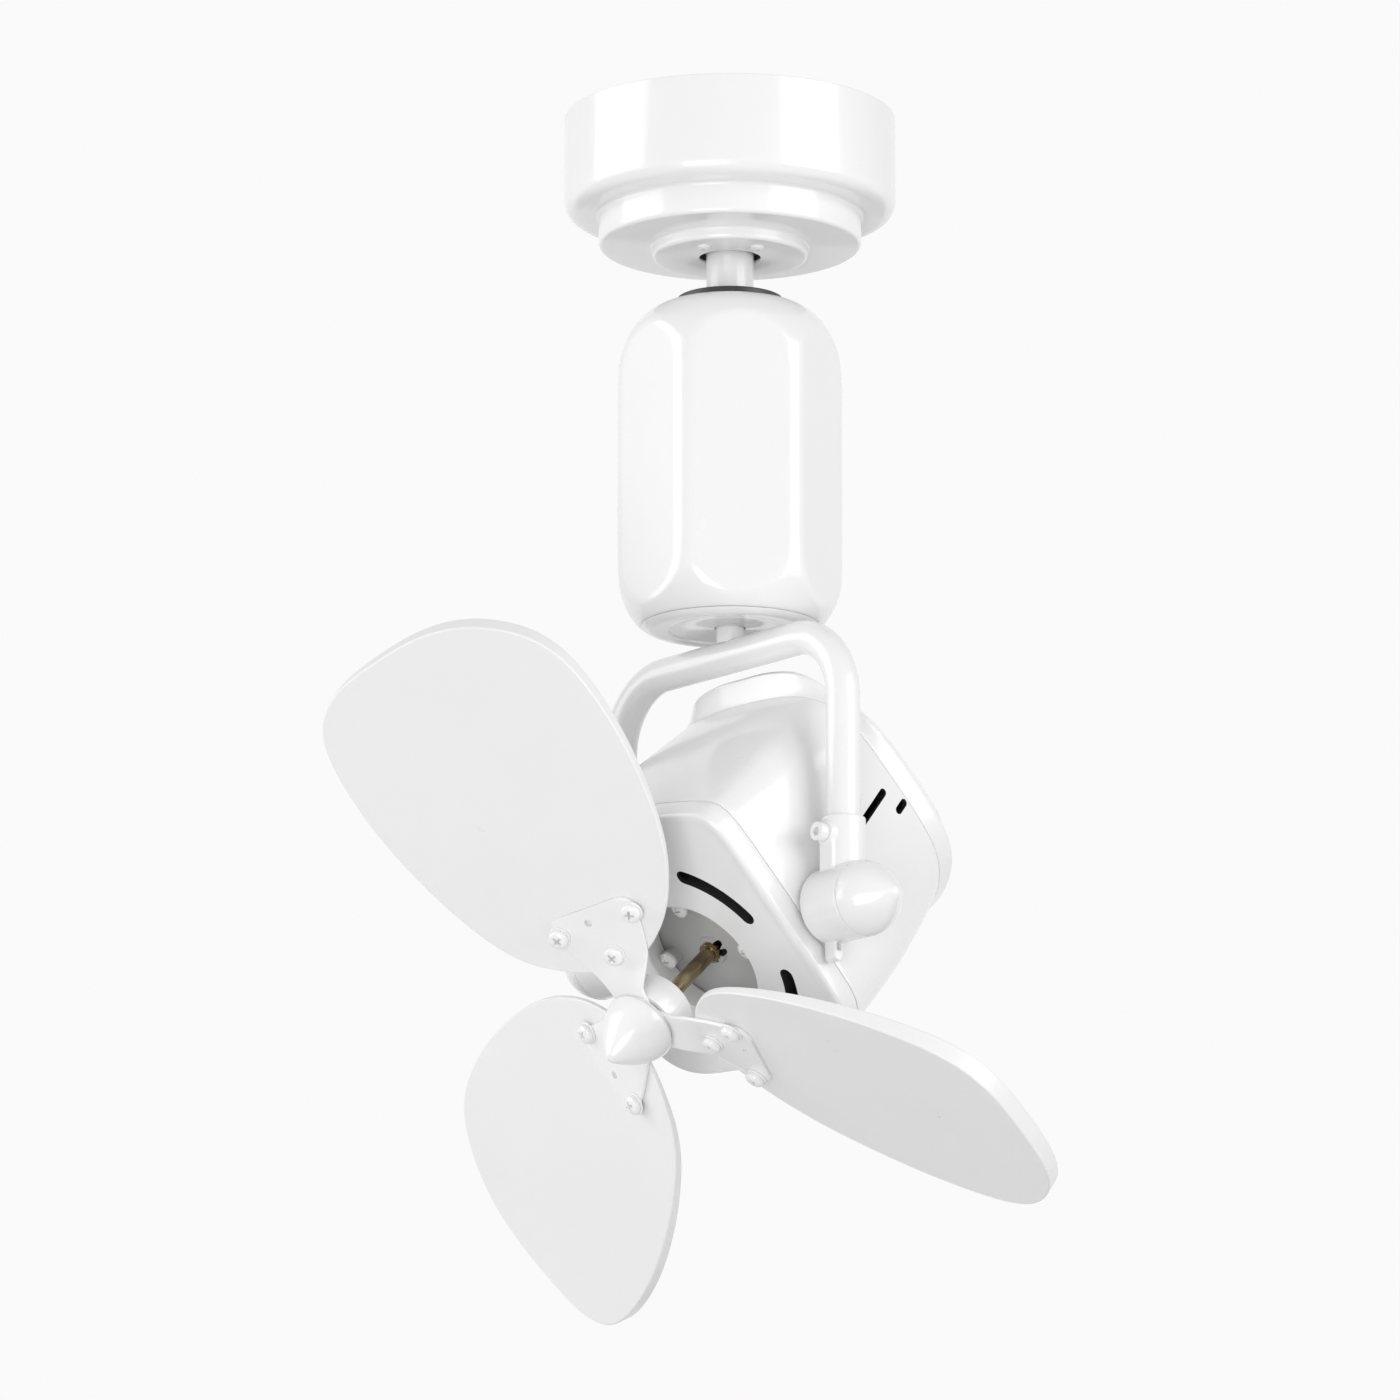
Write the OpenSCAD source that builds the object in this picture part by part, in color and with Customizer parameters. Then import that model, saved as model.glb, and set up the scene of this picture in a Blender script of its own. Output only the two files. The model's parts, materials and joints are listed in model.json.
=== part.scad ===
// Directional fan for a ceiling or a wall: a stepped cover, a short rod, a hexagonal swing gear housing,
// a tubular yoke and a tilting motor head with three broad blades.
// Millimetres. The origin is on the ceiling face, on the swing axis; +Z points into the ceiling.
// X is the tilt axis and the head faces -Y.

/* [Pose at rest] */
// Angle of the motor axis below the horizontal
tilt_rest = 44; // [30:1:60]
// Turn of the first blade, from +X anticlockwise as seen from the front
blade_turn = 86.4; // [60:0.1:110]
// Turn of the hexagonal housing about the vertical
barrel_turn = -2.8; // [-10:0.1:10]

/* [Ceiling plate] */
// Diameter of the plate screwed to the ceiling
plate_d = 144; // [138:1:150]
// Thickness of the ceiling plate
plate_t = 3; // [2:0.5:5]
// Circle of the ceiling screw holes
plate_pcd = 120; // [112:1:126]
// Diameter of the ceiling screw holes
plate_hole_d = 6; // [4:0.5:7]
// Outer diameter of the rod socket
rod_socket_d = 32; // [30:0.5:36]
// Length of the rod socket
rod_socket_h = 34; // [28:1:38]

/* [Ceiling cover] */
// Outer diameter of the cover
cover_d = 168; // [160:1:190]
// Height of the large step
cover_h = 51; // [48:1:60]
// Radius of the large step's lower edge
cover_edge_r = 9; // [4:0.5:12]
// Sheet thickness of the cover
cover_wall = 1.6; // [1:0.1:2.5]
// Diameter of the middle step
step2_d = 133; // [120:1:140]
// Height of the middle step
step2_h = 16; // [12:0.5:20]
// Diameter of the small step
step3_d = 79; // [74:1:90]
// Height of the small step
step3_h = 6; // [4:0.5:8]
// Radius of the edges of the two smaller steps
step_edge_r = 2.5; // [1.8:0.1:3]
// Hole for the rod
rod_hole_d = 31; // [28:0.5:34]
// Distance of the two cover screws from the rod axis
cover_screw_r = 26; // [24:0.5:28]
// Angle between the two cover screws
cover_screw_angle = 62; // [50:1:90]
// Direction of the middle of the two cover screws, from -Y towards +X
cover_screw_turn = 52; // [30:1:70]

/* [Rod] */
// Outer diameter of the rod
rod_d = 24; // [22:0.5:26]
// Wall of the rod
rod_wall = 2; // [1.5:0.1:3]
// Length of rod that shows between the cover and the gear housing
rod_show = 21.4; // [15:0.1:60]

/* [Gear housing] */
// Diameter of the black collar on the gear housing
collar_d = 54; // [50:1:60]
// Height of the black collar
collar_h = 4.2; // [3:0.1:6]
// Height of the gear housing
barrel_h = 168; // [166:1:190]
// Greatest half width of the housing, at a corner
barrel_reach = 56.8; // [56:0.2:62]
// Corner radius of the hexagon
barrel_corner_r = 12; // [8:1:16]
// Wall of the housing
barrel_wall = 2.4; // [1.5:0.1:3]
// Height of the base that closes the housing
base_h = 9; // [8:0.5:12]
// Height of the base that shows under the housing
base_lip_h = 2.6; // [2:0.2:4]
// Teeth of the swing gear
gear_teeth = 28; // [26:1:28]
// Teeth of the pinion
pinion_teeth = 12; // [12:1:13]
// Tooth module
gear_module = 1.5; // [1.4:0.1:1.5]
// Thickness of the gears
gear_h = 8; // [6:0.5:10]
// Diameter of the swing motor
swing_motor_d = 50; // [44:1:50]
// Height of the swing motor
swing_motor_h = 24; // [18:1:28]
// Diameter of the swing shaft
swing_shaft_d = 14; // [12:0.5:16]

/* [Yoke] */
// Diameter of the yoke tube
tube_d = 17; // [15:0.5:18]
// Wall of the yoke tube
tube_wall = 2; // [1.5:0.1:3]
// Distance between the axes of the two legs
leg_span = 176; // [174:1:190]
// Height of the yoke's bar above the tilt axis
yoke_drop = 140; // [140:0.5:160]
// Bend radius of the tube
bend_r = 36; // [30:1:45]
// Gap between the gear housing and the yoke's bar
yoke_gap = 4.9; // [4:0.1:15]

/* [Clamps and knobs] */
// Outer diameter of the sockets that hold the legs
socket_d = 22; // [20.5:0.5:22]
// Height of the sockets' mouths above the tilt axis
socket_top = 43; // [40:0.5:50]
// Outer diameter of the pivot barrels and knobs
pivot_d = 38; // [36:0.5:42]
// Length of the pivot barrels
pivot_len = 27; // [26:0.5:30]
// Diameter of the pivot studs
stud_d = 10; // [8:0.5:12]
// Length of the pointed knobs
knob_len = 25; // [22:0.5:32]
// Length of the nose cone
nose_len = 28; // [24:0.5:34]
// Head diameter of the clamp bolts
clamp_head_d = 9.4; // [8:0.1:9.5]

/* [Motor head] */
// Gap between the head's sides and the clamps
head_gap = 1.5; // [1.3:0.1:3]
// Top of the head above the motor axis, at the front seam
head_top = 86; // [83:0.5:88]
// Bottom of the head below the motor axis
head_bottom = 66; // [62:0.5:68]
// Wall of the head
head_wall = 2.5; // [2:0.1:3.5]
// Front seam, ahead of the tilt axis
seam_f = 15; // [14:0.5:18]
// Front face of the cover, ahead of the tilt axis
face_f = 27.2; // [26:0.1:32]
// Bevel around the cover's face
face_bevel = 1.2; // [0.5:0.1:2]
// Rear seam, behind the tilt axis
rear_seam_f = 85; // [84:0.5:86]
// How far the head tapers in on each side towards the rear cover
rear_taper = 5.5; // [4:0.5:8]
// Top of the rear cover above the motor axis
rear_top = 88; // [84:0.5:88]
// Depth of the rear cover
rear_depth = 28; // [26:0.5:29]
// Diameter of the opening around the motor's face
mouth_d = 67.4; // [64:0.2:70]
// Mean radius of the curved vents
vent_r = 55.2; // [55:0.1:57]
// Width of the curved vents
vent_w = 7.8; // [4:0.1:7.8]

/* [Motor] */
// Diameter of the motor
motor_d = 100; // [96:1:100]
// Length of the motor
motor_len = 72; // [64:1:74]
// Front face of the motor, ahead of the tilt axis
motor_front_f = 15; // [12:0.5:16]
// Diameter of the motor shaft
shaft_d = 8; // [6:0.5:10]
// Radius of the four screws on the motor's face
face_screw_r = 28.5; // [27:0.5:29]

/* [Blades] */
// Sweep diameter
sweep_d = 457; // [420:1:460]
// Centre plane of the blades' front faces, ahead of the tilt axis
blade_f = 66.4; // [64:0.1:76]
// Pitch of the blades
blade_pitch = 19; // [10:0.5:22]
// Thickness of a blade at its tip
blade_t = 9.5; // [7:0.5:10.5]
// Thickness of a blade at its root
blade_lead_t = 3; // [2.5:0.5:5]
// Thickness of the blade brackets
bracket_t = 2.2; // [1.5:0.1:3]
// Outer radius of the brackets
bracket_reach = 65.5; // [62:0.5:72]
// Half width of the brackets at their outer end
bracket_half_w = 25.5; // [25:0.5:32]
// Diameter of the hub boss
hub_d = 33; // [30:0.5:36]
// Diameter of the pan heads of the blade screws
pan_d = 10; // [8:0.1:11]
// Height of the pan heads
pan_h = 3.4; // [2.5:0.1:4]
// Thread diameter of the blade screws
blade_screw_d = 5; // [4:0.5:6]

/* [Fits] */
// Radial clearance of a running shaft
run_fit = 0.05; // [0.02:0.01:0.1]
// Gap between pieces that lie close together
seat_gap = 0.2; // [0.1:0.05:0.3]

/* [Hidden] */
$fn = 48;
blade_count = 3;

white = [0.93, 0.93, 0.93];
black = [0.06, 0.06, 0.06];
zinc = [0.72, 0.70, 0.64];
steel = [0.62, 0.63, 0.65];
copper = [0.72, 0.42, 0.22];
brass = [0.78, 0.65, 0.35];
grey = [0.35, 0.36, 0.38];

// Heights along the swing axis, from the ceiling down
step2_z = -cover_h;
step3_z = step2_z - step2_h;
cover_end_z = step3_z - step3_h;
collar_top_z = cover_end_z - rod_show;
barrel_top_z = collar_top_z - collar_h;
barrel_end_z = barrel_top_z - barrel_h;
bar_z = barrel_end_z - yoke_gap - tube_d / 2;
tilt_z = bar_z - yoke_drop;

// Carrier ring inside the cover
carrier_t = 3;
carrier_z = cover_end_z + cover_wall;
carrier_in_r = rod_hole_d / 2 + 1;
carrier_out_r = step3_d / 2 - cover_wall - 1.5;
post_d = 6;
cover_screw_d = 4;

// Rod fixings
rod_top_z = -plate_t - 1;
cross_bolt_d = 6;
cross_head_d = 10;
cross_head_h = 4;
socket_bolt_z = -plate_t - rod_socket_h * 0.6;
coupler_d = rod_d + 14;
coupler_h = 24;
coupler_top_z = barrel_top_z - 8;
coupler_bolt_z = coupler_top_z - coupler_h / 2;

// Gear chassis
top_deck_z = coupler_top_z - coupler_h;
deck_t = 4;
deck_r = 42;
deck_post_r = 35.5;
deck_post_d = 8;
mid_deck_z = top_deck_z - deck_t - swing_motor_h - 14;
base_top_z = barrel_end_z + base_h;
gear_top_z = mid_deck_z - deck_t - 5;
gear_centres = gear_module * (gear_teeth + pinion_teeth) / 2;
bearing_h = 8;
motor_offset = 13;
motor_ear_turn = -20;
motor_ear_r = swing_motor_d / 2 + 4;
motor_floor_z = mid_deck_z + bearing_h - deck_t + 5;
motor_shaft_d = 7;
bearing_od = swing_shaft_d + 16;
slip_d = swing_shaft_d + 14;
slip_h = 22;
slip_top_z = gear_top_z - gear_h - 6;

// Rounded ends of the hexagonal housing: radius at the end and height of the rounding
barrel_top_r = collar_d / 2 + 2;
barrel_top_round = 42;
barrel_foot_r = 38;
barrel_foot_round = 36;
base_flange_r = 40;
foot_recess_r = 31;
foot_recess = 1;
base_screw_grip = 5;

// Yoke and pivots
leg_x = leg_span / 2;
pivot_in_x = leg_x - pivot_len / 2 + 2;
pivot_out_x = pivot_in_x + pivot_len;
leg_end = pivot_d / 2 + 2;
head_half_w = pivot_in_x - head_gap;
rear_half_w = head_half_w - rear_taper;
washer_t = 0.7;
boss_x = pivot_in_x - washer_t - 2 * seat_gap;
stud_in_x = boss_x - 12;
stud_len = pivot_out_x + 15 - stud_in_x;
clamp_bolt_z = 25 + (socket_top - 25) / 2;
clamp_pad = 3.6;
lug_w = 8.3;
lug_t = 5.6;
lug_drop = 6.5;

// Motor head outlines, right half from the top down, for the sizes at the front seam and at the rear cover
front_half = [
    [30, 84.8], [62, 79.8], [71, 73], [73.8, 62], [74.7, 40], [75, 10], [75, -20], [73.5, -42],
    [66, -54.5], [52, -61.5], [28, -64]
];
mid_half = [
    [30, 83], [58, 77.5], [68, 69], [72, 55], [73, 30], [73, 0], [71.5, -25], [66.5, -43],
    [55.5, -56], [36, -64]
];
back_half = [
    [30, 77.8], [50, 73], [62, 63.5], [67.5, 47], [69, 20], [68.5, -10], [64, -28.5], [54, -42.5],
    [39, -53.5], [21, -62]
];
rear_half = [
    [22, 87.4], [41, 82.5], [55, 68], [65.5, 50], [69.5, 20], [69.3, -10.5], [64.5, -29], [54, -43],
    [39, -54], [21, -62]
];
flare_depth = 9;
front_sizes = [75, 86, 66.4];
rear_sizes = [69.5, 88, 66];
mid_f = 30;
plate_f = 2.5;
side_vent_w = 4.2;
spigot_t = 1.2;
seam_gap = 0.3;
cover_bolt_d = 4;
cover_bolt_grip = 6;
cover_boss_f = -3;

// Motor
bell_t = 3;
bell_h = 20;
stator_in_r = motor_d * 0.265;
slot_r = motor_d * 0.4;
rotor_gap = 0.5;
motor_back_f = motor_front_f - motor_len;
motor_bearing_d = 22;
motor_bearing_h = 7;
bearing_front_f = motor_front_f - 4;
bearing_back_f = motor_back_f + 4;

// Rotor head
hub_back_f = blade_f - 7.6;
blade_front = 2.5;
bracket_front = blade_front + bracket_t;
washer_h = 1;
tab_f = blade_f + 8;
hub_washer_h = 2.4;
nose_f = tab_f + bracket_t + hub_washer_h;
screw_spots = [[56, 22], [56, -22], [37.6, 0]];
pilot_spot = [58, 3.3];

// Rounded point of a knob or of the nose cone: full radius at its foot and a small dome at the tip
point_steps = 14;
point_round = 0.98;
function point_radius(t, r) = r * pow(1 - pow(t, 1.5), 0.75);
function point_outline(r, len) = concat(
    [[0, 0], [r, 0], [r, 1]],
    [for (i = [1 : point_steps])
        let (t = point_round * i / point_steps) [point_radius(t, r), 1 + (len - 1) * t]],
    [[point_radius(point_round, r) * 0.6, len - 0.5], [0, len]]
);

// Arc as points, anticlockwise if to is the larger angle
function arc(cx, cy, r, from, to, steps) = [
    for (i = [0 : steps]) let (a = from + (to - from) * i / steps) [cx + r * cos(a), cy + r * sin(a)]
];

// Closed head outline from its right half: scaled to the named width, top and bottom, and grown sideways
function head_points(half, top, bottom, sizes, ask, grow) =
    let (
        right = [for (p = half) [
            p[0] * ask[0] / sizes[0],
            p[1] * (p[1] > 0 ? ask[1] / sizes[1] : ask[2] / sizes[2])
        ]],
        n = len(right),
        loop = concat(
            [[0, top * ask[1] / sizes[1]]],
            right,
            [[0, -bottom * ask[2] / sizes[2]]],
            [for (i = [n - 1 : -1 : 0]) [-right[i][0], right[i][1]]]
        ),
        line = smooth_loop(loop)
    )
    [for (i = [0 : len(line) - 1])
        let (
            a = line[(i + len(line) - 1) % len(line)],
            b = line[(i + 1) % len(line)],
            d = b - a,
            l = norm(d)
        ) line[i] + grow * [-d[1], d[0]] / l];
function scaled(points, k) = [for (p = points) [p[0] * k, p[1] * k]];

// Hexagon with round corners whose corners reach out to a given radius
function hexagon(reach, r) = [
    for (i = [0 : 5], k = [-2 : 2])
        let (a = i * 60, b = a + k * 15) [
            (reach - r) * cos(a) + r * cos(b),
            (reach - r) * sin(a) + r * sin(b)
        ]
];

// Smooth closed line through a list of points
spline_steps = 3;
function spline_point(a, b, c, d, t) =
    0.5 * ((2 * b) + (c - a) * t + (2 * a - 5 * b + 4 * c - d) * t * t
        + (3 * b - a - 3 * c + d) * t * t * t);
function smooth_loop(pts) =
    let (n = len(pts)) [
        for (i = [0 : n - 1], k = [0 : spline_steps - 1])
            spline_point(pts[(i + n - 1) % n], pts[i], pts[(i + 1) % n], pts[(i + 2) % n], k / spline_steps)
    ];

// Blade outline along the blade and across it, leading edge on the negative side, for a tip radius of 228.5
blade_tip_r = 228.5;
blade_shape = [
    [28, 4], [46, 46], [84, 69], [140, 83], [190, 82], [214, 64],
    [225.5, 27], [228.5, -8], [221, -36], [203, -58], [174, -67.5], [128, -67], [78, -55], [42, -30]
];
blade_scale = sweep_d / 2 / blade_tip_r;

// Gear with straight-sided teeth
function gear_points(teeth, m) =
    let (rp = m * teeth / 2, ro = rp + 0.9 * m, ri = rp - 1.15 * m, q = 360 / teeth)
    [for (i = [0 : teeth - 1], k = [0 : 3])
        let (a = i * q + [-0.27, -0.13, 0.13, 0.27][k] * q, r = [ri, ro, ro, ri][k])
            [r * cos(a), r * sin(a)]];

module ring(od, id, h) {
    difference() {
        cylinder(d = od, h = h);
        translate([0, 0, -1])
            cylinder(d = id, h = h + 2);
    }
}

// Pan head screw along +Z: the head stands on Z = 0 and the thread runs down
module pan_screw(head_d, head_h, thread_d, length) {
    difference() {
        union() {
            cylinder(d = head_d, h = head_h * 0.45);
            translate([0, 0, head_h * 0.45])
                rotate_extrude()
                    intersection() {
                        square([head_d / 2, head_h * 0.55]);
                        translate([0, head_h * 0.55 - head_d * 0.62])
                            circle(d = head_d * 1.24);
                    }
            translate([0, 0, -length])
                cylinder(d = thread_d, h = length);
        }
        for (a = [0, 90])
            rotate([0, 0, a])
                translate([-head_d * 0.24, -head_d * 0.05, head_h * 0.45])
                    cube([head_d * 0.48, head_d * 0.1, head_h]);
    }
}

module head_place() {
    translate([0, 0, tilt_z])
        rotate([tilt_rest, 0, 0])
            children();
}

// Along the motor axis: +Z is forward, +Y is up, +X stays
module axis_place() {
    head_place()
        rotate([90, 0, 0])
            children();
}

module blade_place(i) {
    axis_place()
        rotate([0, 0, blade_turn - i * 360 / blade_count])
            translate([0, 0, blade_f])
                rotate([blade_pitch, 0, 0])
                    children();
}

module cover_screw_place() {
    for (a = [-0.5, 0.5])
        rotate([0, 0, -90 + cover_screw_turn + a * cover_screw_angle])
            translate([cover_screw_r, 0, 0])
                children();
}

module ceiling_plate() {
    color(zinc)
        difference() {
            union() {
                translate([0, 0, -plate_t])
                    cylinder(d = plate_d, h = plate_t);
                translate([0, 0, -plate_t - rod_socket_h])
                    cylinder(d = rod_socket_d, h = rod_socket_h);
            }
            translate([0, 0, -plate_t - rod_socket_h - 1])
                cylinder(d = rod_d + 2 * run_fit, h = rod_socket_h + 1);
            translate([0, 0, -plate_t - 1])
                cylinder(d = rod_d - 2 * rod_wall, h = plate_t + 2);
            for (a = [45 : 90 : 315])
                rotate([0, 0, a])
                    translate([plate_pcd / 2, 0, -plate_t - 1])
                        cylinder(d = plate_hole_d, h = plate_t + 2);
            translate([0, 0, socket_bolt_z])
                rotate([0, 90, 0])
                    cylinder(d = cross_bolt_d + 2 * run_fit, h = rod_socket_d + 2, center = true);
        }
}

module cross_bolt(length) {
    rotate([0, 90, 0]) {
        translate([0, 0, -length / 2])
            cylinder(d = cross_bolt_d, h = length + cross_head_h);
        translate([0, 0, -length / 2 - cross_head_h])
            cylinder(d = cross_head_d, h = cross_head_h, $fn = 6);
        translate([0, 0, length / 2])
            ring(cross_head_d, cross_bolt_d, cross_head_h - 0.5);
    }
}

module rod_socket_bolt() {
    color(steel)
        translate([0, 0, socket_bolt_z])
            cross_bolt(rod_socket_d + 2 * seat_gap);
}

module terminal_block() {
    color(grey)
        translate([-18, 28, -plate_t - 14])
            difference() {
                cube([36, 16, 14]);
                for (x = [6, 18, 30])
                    translate([x, 8, -1])
                        cylinder(d = 5, h = 9);
            }
}

module cover_carrier() {
    color(zinc)
        translate([0, 0, carrier_z])
            difference() {
                union() {
                    cylinder(r = carrier_out_r, h = carrier_t);
                    for (a = [60 : 120 : 300])
                        rotate([0, 0, a])
                            translate([carrier_in_r + 8, 0, 0])
                                cylinder(d = post_d, h = -carrier_z - plate_t);
                }
                translate([0, 0, -1])
                    cylinder(r = carrier_in_r, h = carrier_t + 2);
                cover_screw_place()
                    translate([0, 0, -1])
                        cylinder(d = cover_screw_d, h = carrier_t + 2);
            }
}

// Outside line of the stepped cover, pulled in by the sheet thickness for the inside
module cover_profile(inset) {
    e = cover_edge_r;
    s = step_edge_r;
    top = inset > 0 ? 1 : 0;
    polygon(concat(
        [[0, top], [cover_d / 2 - inset, top]],
        arc(cover_d / 2 - e, step2_z + e, e - inset, 0, -90, 8),
        [[step2_d / 2 - inset, step2_z + inset]],
        arc(step2_d / 2 - s, step3_z + s, s - inset, 0, -90, 4),
        [[step3_d / 2 - inset, step3_z + inset]],
        arc(step3_d / 2 - s, cover_end_z + s, s - inset, 0, -90, 4),
        [[0, cover_end_z + inset]]
    ));
}

module ceiling_cover() {
    color(white)
        difference() {
            rotate_extrude()
                cover_profile(0);
            rotate_extrude()
                cover_profile(cover_wall);
            translate([0, 0, cover_end_z - 1])
                cylinder(d = rod_hole_d, h = cover_wall + 2);
            cover_screw_place()
                translate([0, 0, cover_end_z - 1])
                    cylinder(d = cover_screw_d + 2 * run_fit, h = cover_wall + 2);
        }
}

module cover_screws() {
    color(white)
        cover_screw_place()
            translate([0, 0, cover_end_z])
                rotate([180, 0, 0])
                    pan_screw(cover_screw_d * 1.75, 2.2, cover_screw_d - 2 * run_fit, cover_wall + carrier_t);
}

module down_rod() {
    color(white)
        difference() {
            translate([0, 0, top_deck_z])
                cylinder(d = rod_d, h = rod_top_z - top_deck_z);
            translate([0, 0, top_deck_z - 1])
                cylinder(d = rod_d - 2 * rod_wall, h = rod_top_z - top_deck_z + 2);
            for (z = [socket_bolt_z, coupler_bolt_z])
                translate([0, 0, z])
                    rotate([0, 90, 0])
                        cylinder(d = cross_bolt_d + 2 * run_fit, h = rod_d + 2, center = true);
        }
}

module gear_collar() {
    color(black)
        translate([0, 0, barrel_top_z])
            ring(collar_d, rod_d + 2 * run_fit, collar_h);
}

// Quarter ellipse points from an end of the housing towards its middle
function barrel_end(r, height, z, way, steps) = [
    for (i = [0 : steps])
        let (a = 90 * i / steps) [r + (barrel_reach + 0.5 - r) * sin(a), z + way * height * (1 - cos(a))]
];

// Solid of the hexagonal housing, a six-sided prism with turned ends, grown or shrunk sideways
module barrel_solid(grow) {
    top = barrel_end(barrel_top_r, barrel_top_round, barrel_top_z, -1, 9);
    foot = barrel_end(barrel_foot_r, barrel_foot_round, barrel_end_z, 1, 9);
    intersection() {
        rotate_extrude()
            polygon(concat(
                [[0, barrel_end_z]],
                [for (p = foot) [p[0] + grow, p[1]]],
                [for (i = [len(top) - 1 : -1 : 0]) [top[i][0] + grow, top[i][1]]],
                [[0, barrel_top_z]]
            ));
        translate([0, 0, barrel_end_z - 1])
            linear_extrude(barrel_h + 2)
                polygon(hexagon(barrel_reach + grow, barrel_corner_r + grow));
    }
}

module gear_housing() {
    color(white)
        rotate([0, 0, barrel_turn])
            difference() {
                barrel_solid(0);
                intersection() {
                    barrel_solid(-barrel_wall);
                    translate([0, 0, barrel_end_z])
                        cylinder(r = barrel_reach + 5, h = barrel_h - barrel_wall);
                }
                translate([0, 0, barrel_end_z - 1])
                    cylinder(r = barrel_reach + 5, h = base_lip_h + 1);
                translate([0, 0, barrel_top_z - barrel_h / 2])
                    cylinder(d = rod_d + 2 * run_fit, h = barrel_h / 2 + 1);
            }
}

module base_screw_place() {
    for (a = [0 : 120 : 240])
        rotate([0, 0, a])
            translate([deck_post_r, 0, 0])
                children();
}

module gear_base() {
    color(white)
        rotate([0, 0, barrel_turn])
            difference() {
                union() {
                    intersection() {
                        barrel_solid(0);
                        translate([0, 0, barrel_end_z - 1])
                            cylinder(r = barrel_reach + 5, h = base_lip_h + 1 - seat_gap);
                    }
                    translate([0, 0, barrel_end_z + 1])
                        cylinder(r = base_flange_r, h = base_h - 1 - seat_gap);
                }
                translate([0, 0, barrel_end_z - 1])
                    cylinder(r = foot_recess_r, h = foot_recess + 1);
                translate([0, 0, barrel_end_z - 1])
                    cylinder(d = swing_shaft_d + 2, h = base_h + 2);
                translate([0, 0, base_top_z - seat_gap - bearing_h / 2])
                    cylinder(d = bearing_od, h = bearing_h);
                rotate([0, 0, -barrel_turn])
                    base_screw_place()
                        translate([0, 0, base_top_z - base_screw_grip])
                            cylinder(d = 4, h = base_h);
            }
}

// Long screws that draw the chassis and the base together, inside the housing
module base_screws() {
    color(steel)
        base_screw_place()
            translate([0, 0, top_deck_z])
                pan_screw(7, 2.4, 4, top_deck_z - base_top_z + base_screw_grip);
}

module rod_coupler() {
    color(zinc)
        difference() {
            translate([0, 0, top_deck_z])
                cylinder(d = coupler_d, h = coupler_h);
            translate([0, 0, top_deck_z - 1])
                cylinder(d = rod_d + 2 * run_fit, h = coupler_h + 2);
            translate([0, 0, coupler_bolt_z])
                rotate([0, 90, 0])
                    cylinder(d = cross_bolt_d + 2 * run_fit, h = coupler_d + 2, center = true);
        }
}

module coupler_bolt() {
    color(steel)
        translate([0, 0, coupler_bolt_z])
            cross_bolt(coupler_d + 2 * seat_gap);
}

module swing_motor_place() {
    translate([-gear_centres + motor_offset, 0, 0])
        children();
}

module swing_ear_place() {
    swing_motor_place()
        rotate([0, 0, motor_ear_turn])
            for (y = [-1, 1])
                translate([0, y * motor_ear_r, 0])
                    children();
}

module gear_chassis() {
    color(zinc)
        difference() {
            union() {
                translate([0, 0, top_deck_z - deck_t])
                    cylinder(r = deck_r, h = deck_t);
                translate([0, 0, mid_deck_z - deck_t])
                    cylinder(r = deck_r, h = deck_t);
                base_screw_place()
                    translate([0, 0, base_top_z])
                        cylinder(d = deck_post_d, h = top_deck_z - deck_t / 2 - base_top_z);
                translate([0, 0, mid_deck_z - deck_t])
                    cylinder(d = bearing_od + 6, h = bearing_h + 1);
            }
            translate([0, 0, top_deck_z - deck_t - 1])
                cylinder(d = rod_d - 2 * rod_wall, h = deck_t + 2);
            translate([0, 0, mid_deck_z - deck_t - 1])
                cylinder(d = swing_shaft_d + 2, h = bearing_h + 3);
            translate([0, 0, mid_deck_z - deck_t + 1])
                cylinder(d = bearing_od, h = bearing_h + 1);
            translate([-gear_centres, 0, mid_deck_z - deck_t - 1])
                cylinder(d = 14, h = deck_t + 2);
            base_screw_place()
                translate([0, 0, base_top_z - 1])
                    cylinder(d = 4.2, h = top_deck_z - base_top_z + 2);
            swing_ear_place()
                translate([0, 0, mid_deck_z - deck_t - 1])
                    cylinder(d = 3.1, h = deck_t + 2);
        }
}

// The motor stands on its two ears and its output bush, clear of the bearing seat
module swing_motor() {
    bush_z = mid_deck_z - deck_t + 1;
    color(grey)
        difference() {
            union() {
                swing_motor_place()
                    translate([0, 0, motor_floor_z])
                        cylinder(d = swing_motor_d, h = swing_motor_h);
                swing_ear_place()
                    translate([0, 0, mid_deck_z])
                        cylinder(d = 7, h = motor_floor_z - mid_deck_z + 2);
                swing_motor_place()
                    rotate([0, 0, motor_ear_turn])
                        translate([-3.5, -motor_ear_r, motor_floor_z])
                            cube([7, 2 * motor_ear_r, 2]);
                translate([-gear_centres, 0, bush_z])
                    cylinder(d = 12, h = motor_floor_z - bush_z + 1);
            }
            swing_ear_place()
                translate([0, 0, mid_deck_z - 1])
                    cylinder(d = 3.1, h = motor_floor_z - mid_deck_z + 4);
            translate([-gear_centres, 0, bush_z - 1])
                cylinder(d = motor_shaft_d + 2 * run_fit, h = 12);
        }
}

module swing_motor_screws() {
    color(steel)
        swing_ear_place()
            translate([0, 0, motor_floor_z + 2 + run_fit])
                pan_screw(6, 2, 3, motor_floor_z + 2 - mid_deck_z + deck_t);
}

module upper_bearing() {
    color(steel)
        translate([0, 0, mid_deck_z - deck_t + 1])
            ring(bearing_od - 0.04, swing_shaft_d + 2 * run_fit, bearing_h);
}

module lower_bearing() {
    color(steel)
        translate([0, 0, base_top_z - seat_gap - bearing_h / 2])
            ring(bearing_od - 0.04, swing_shaft_d + 2 * run_fit, bearing_h);
}

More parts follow.
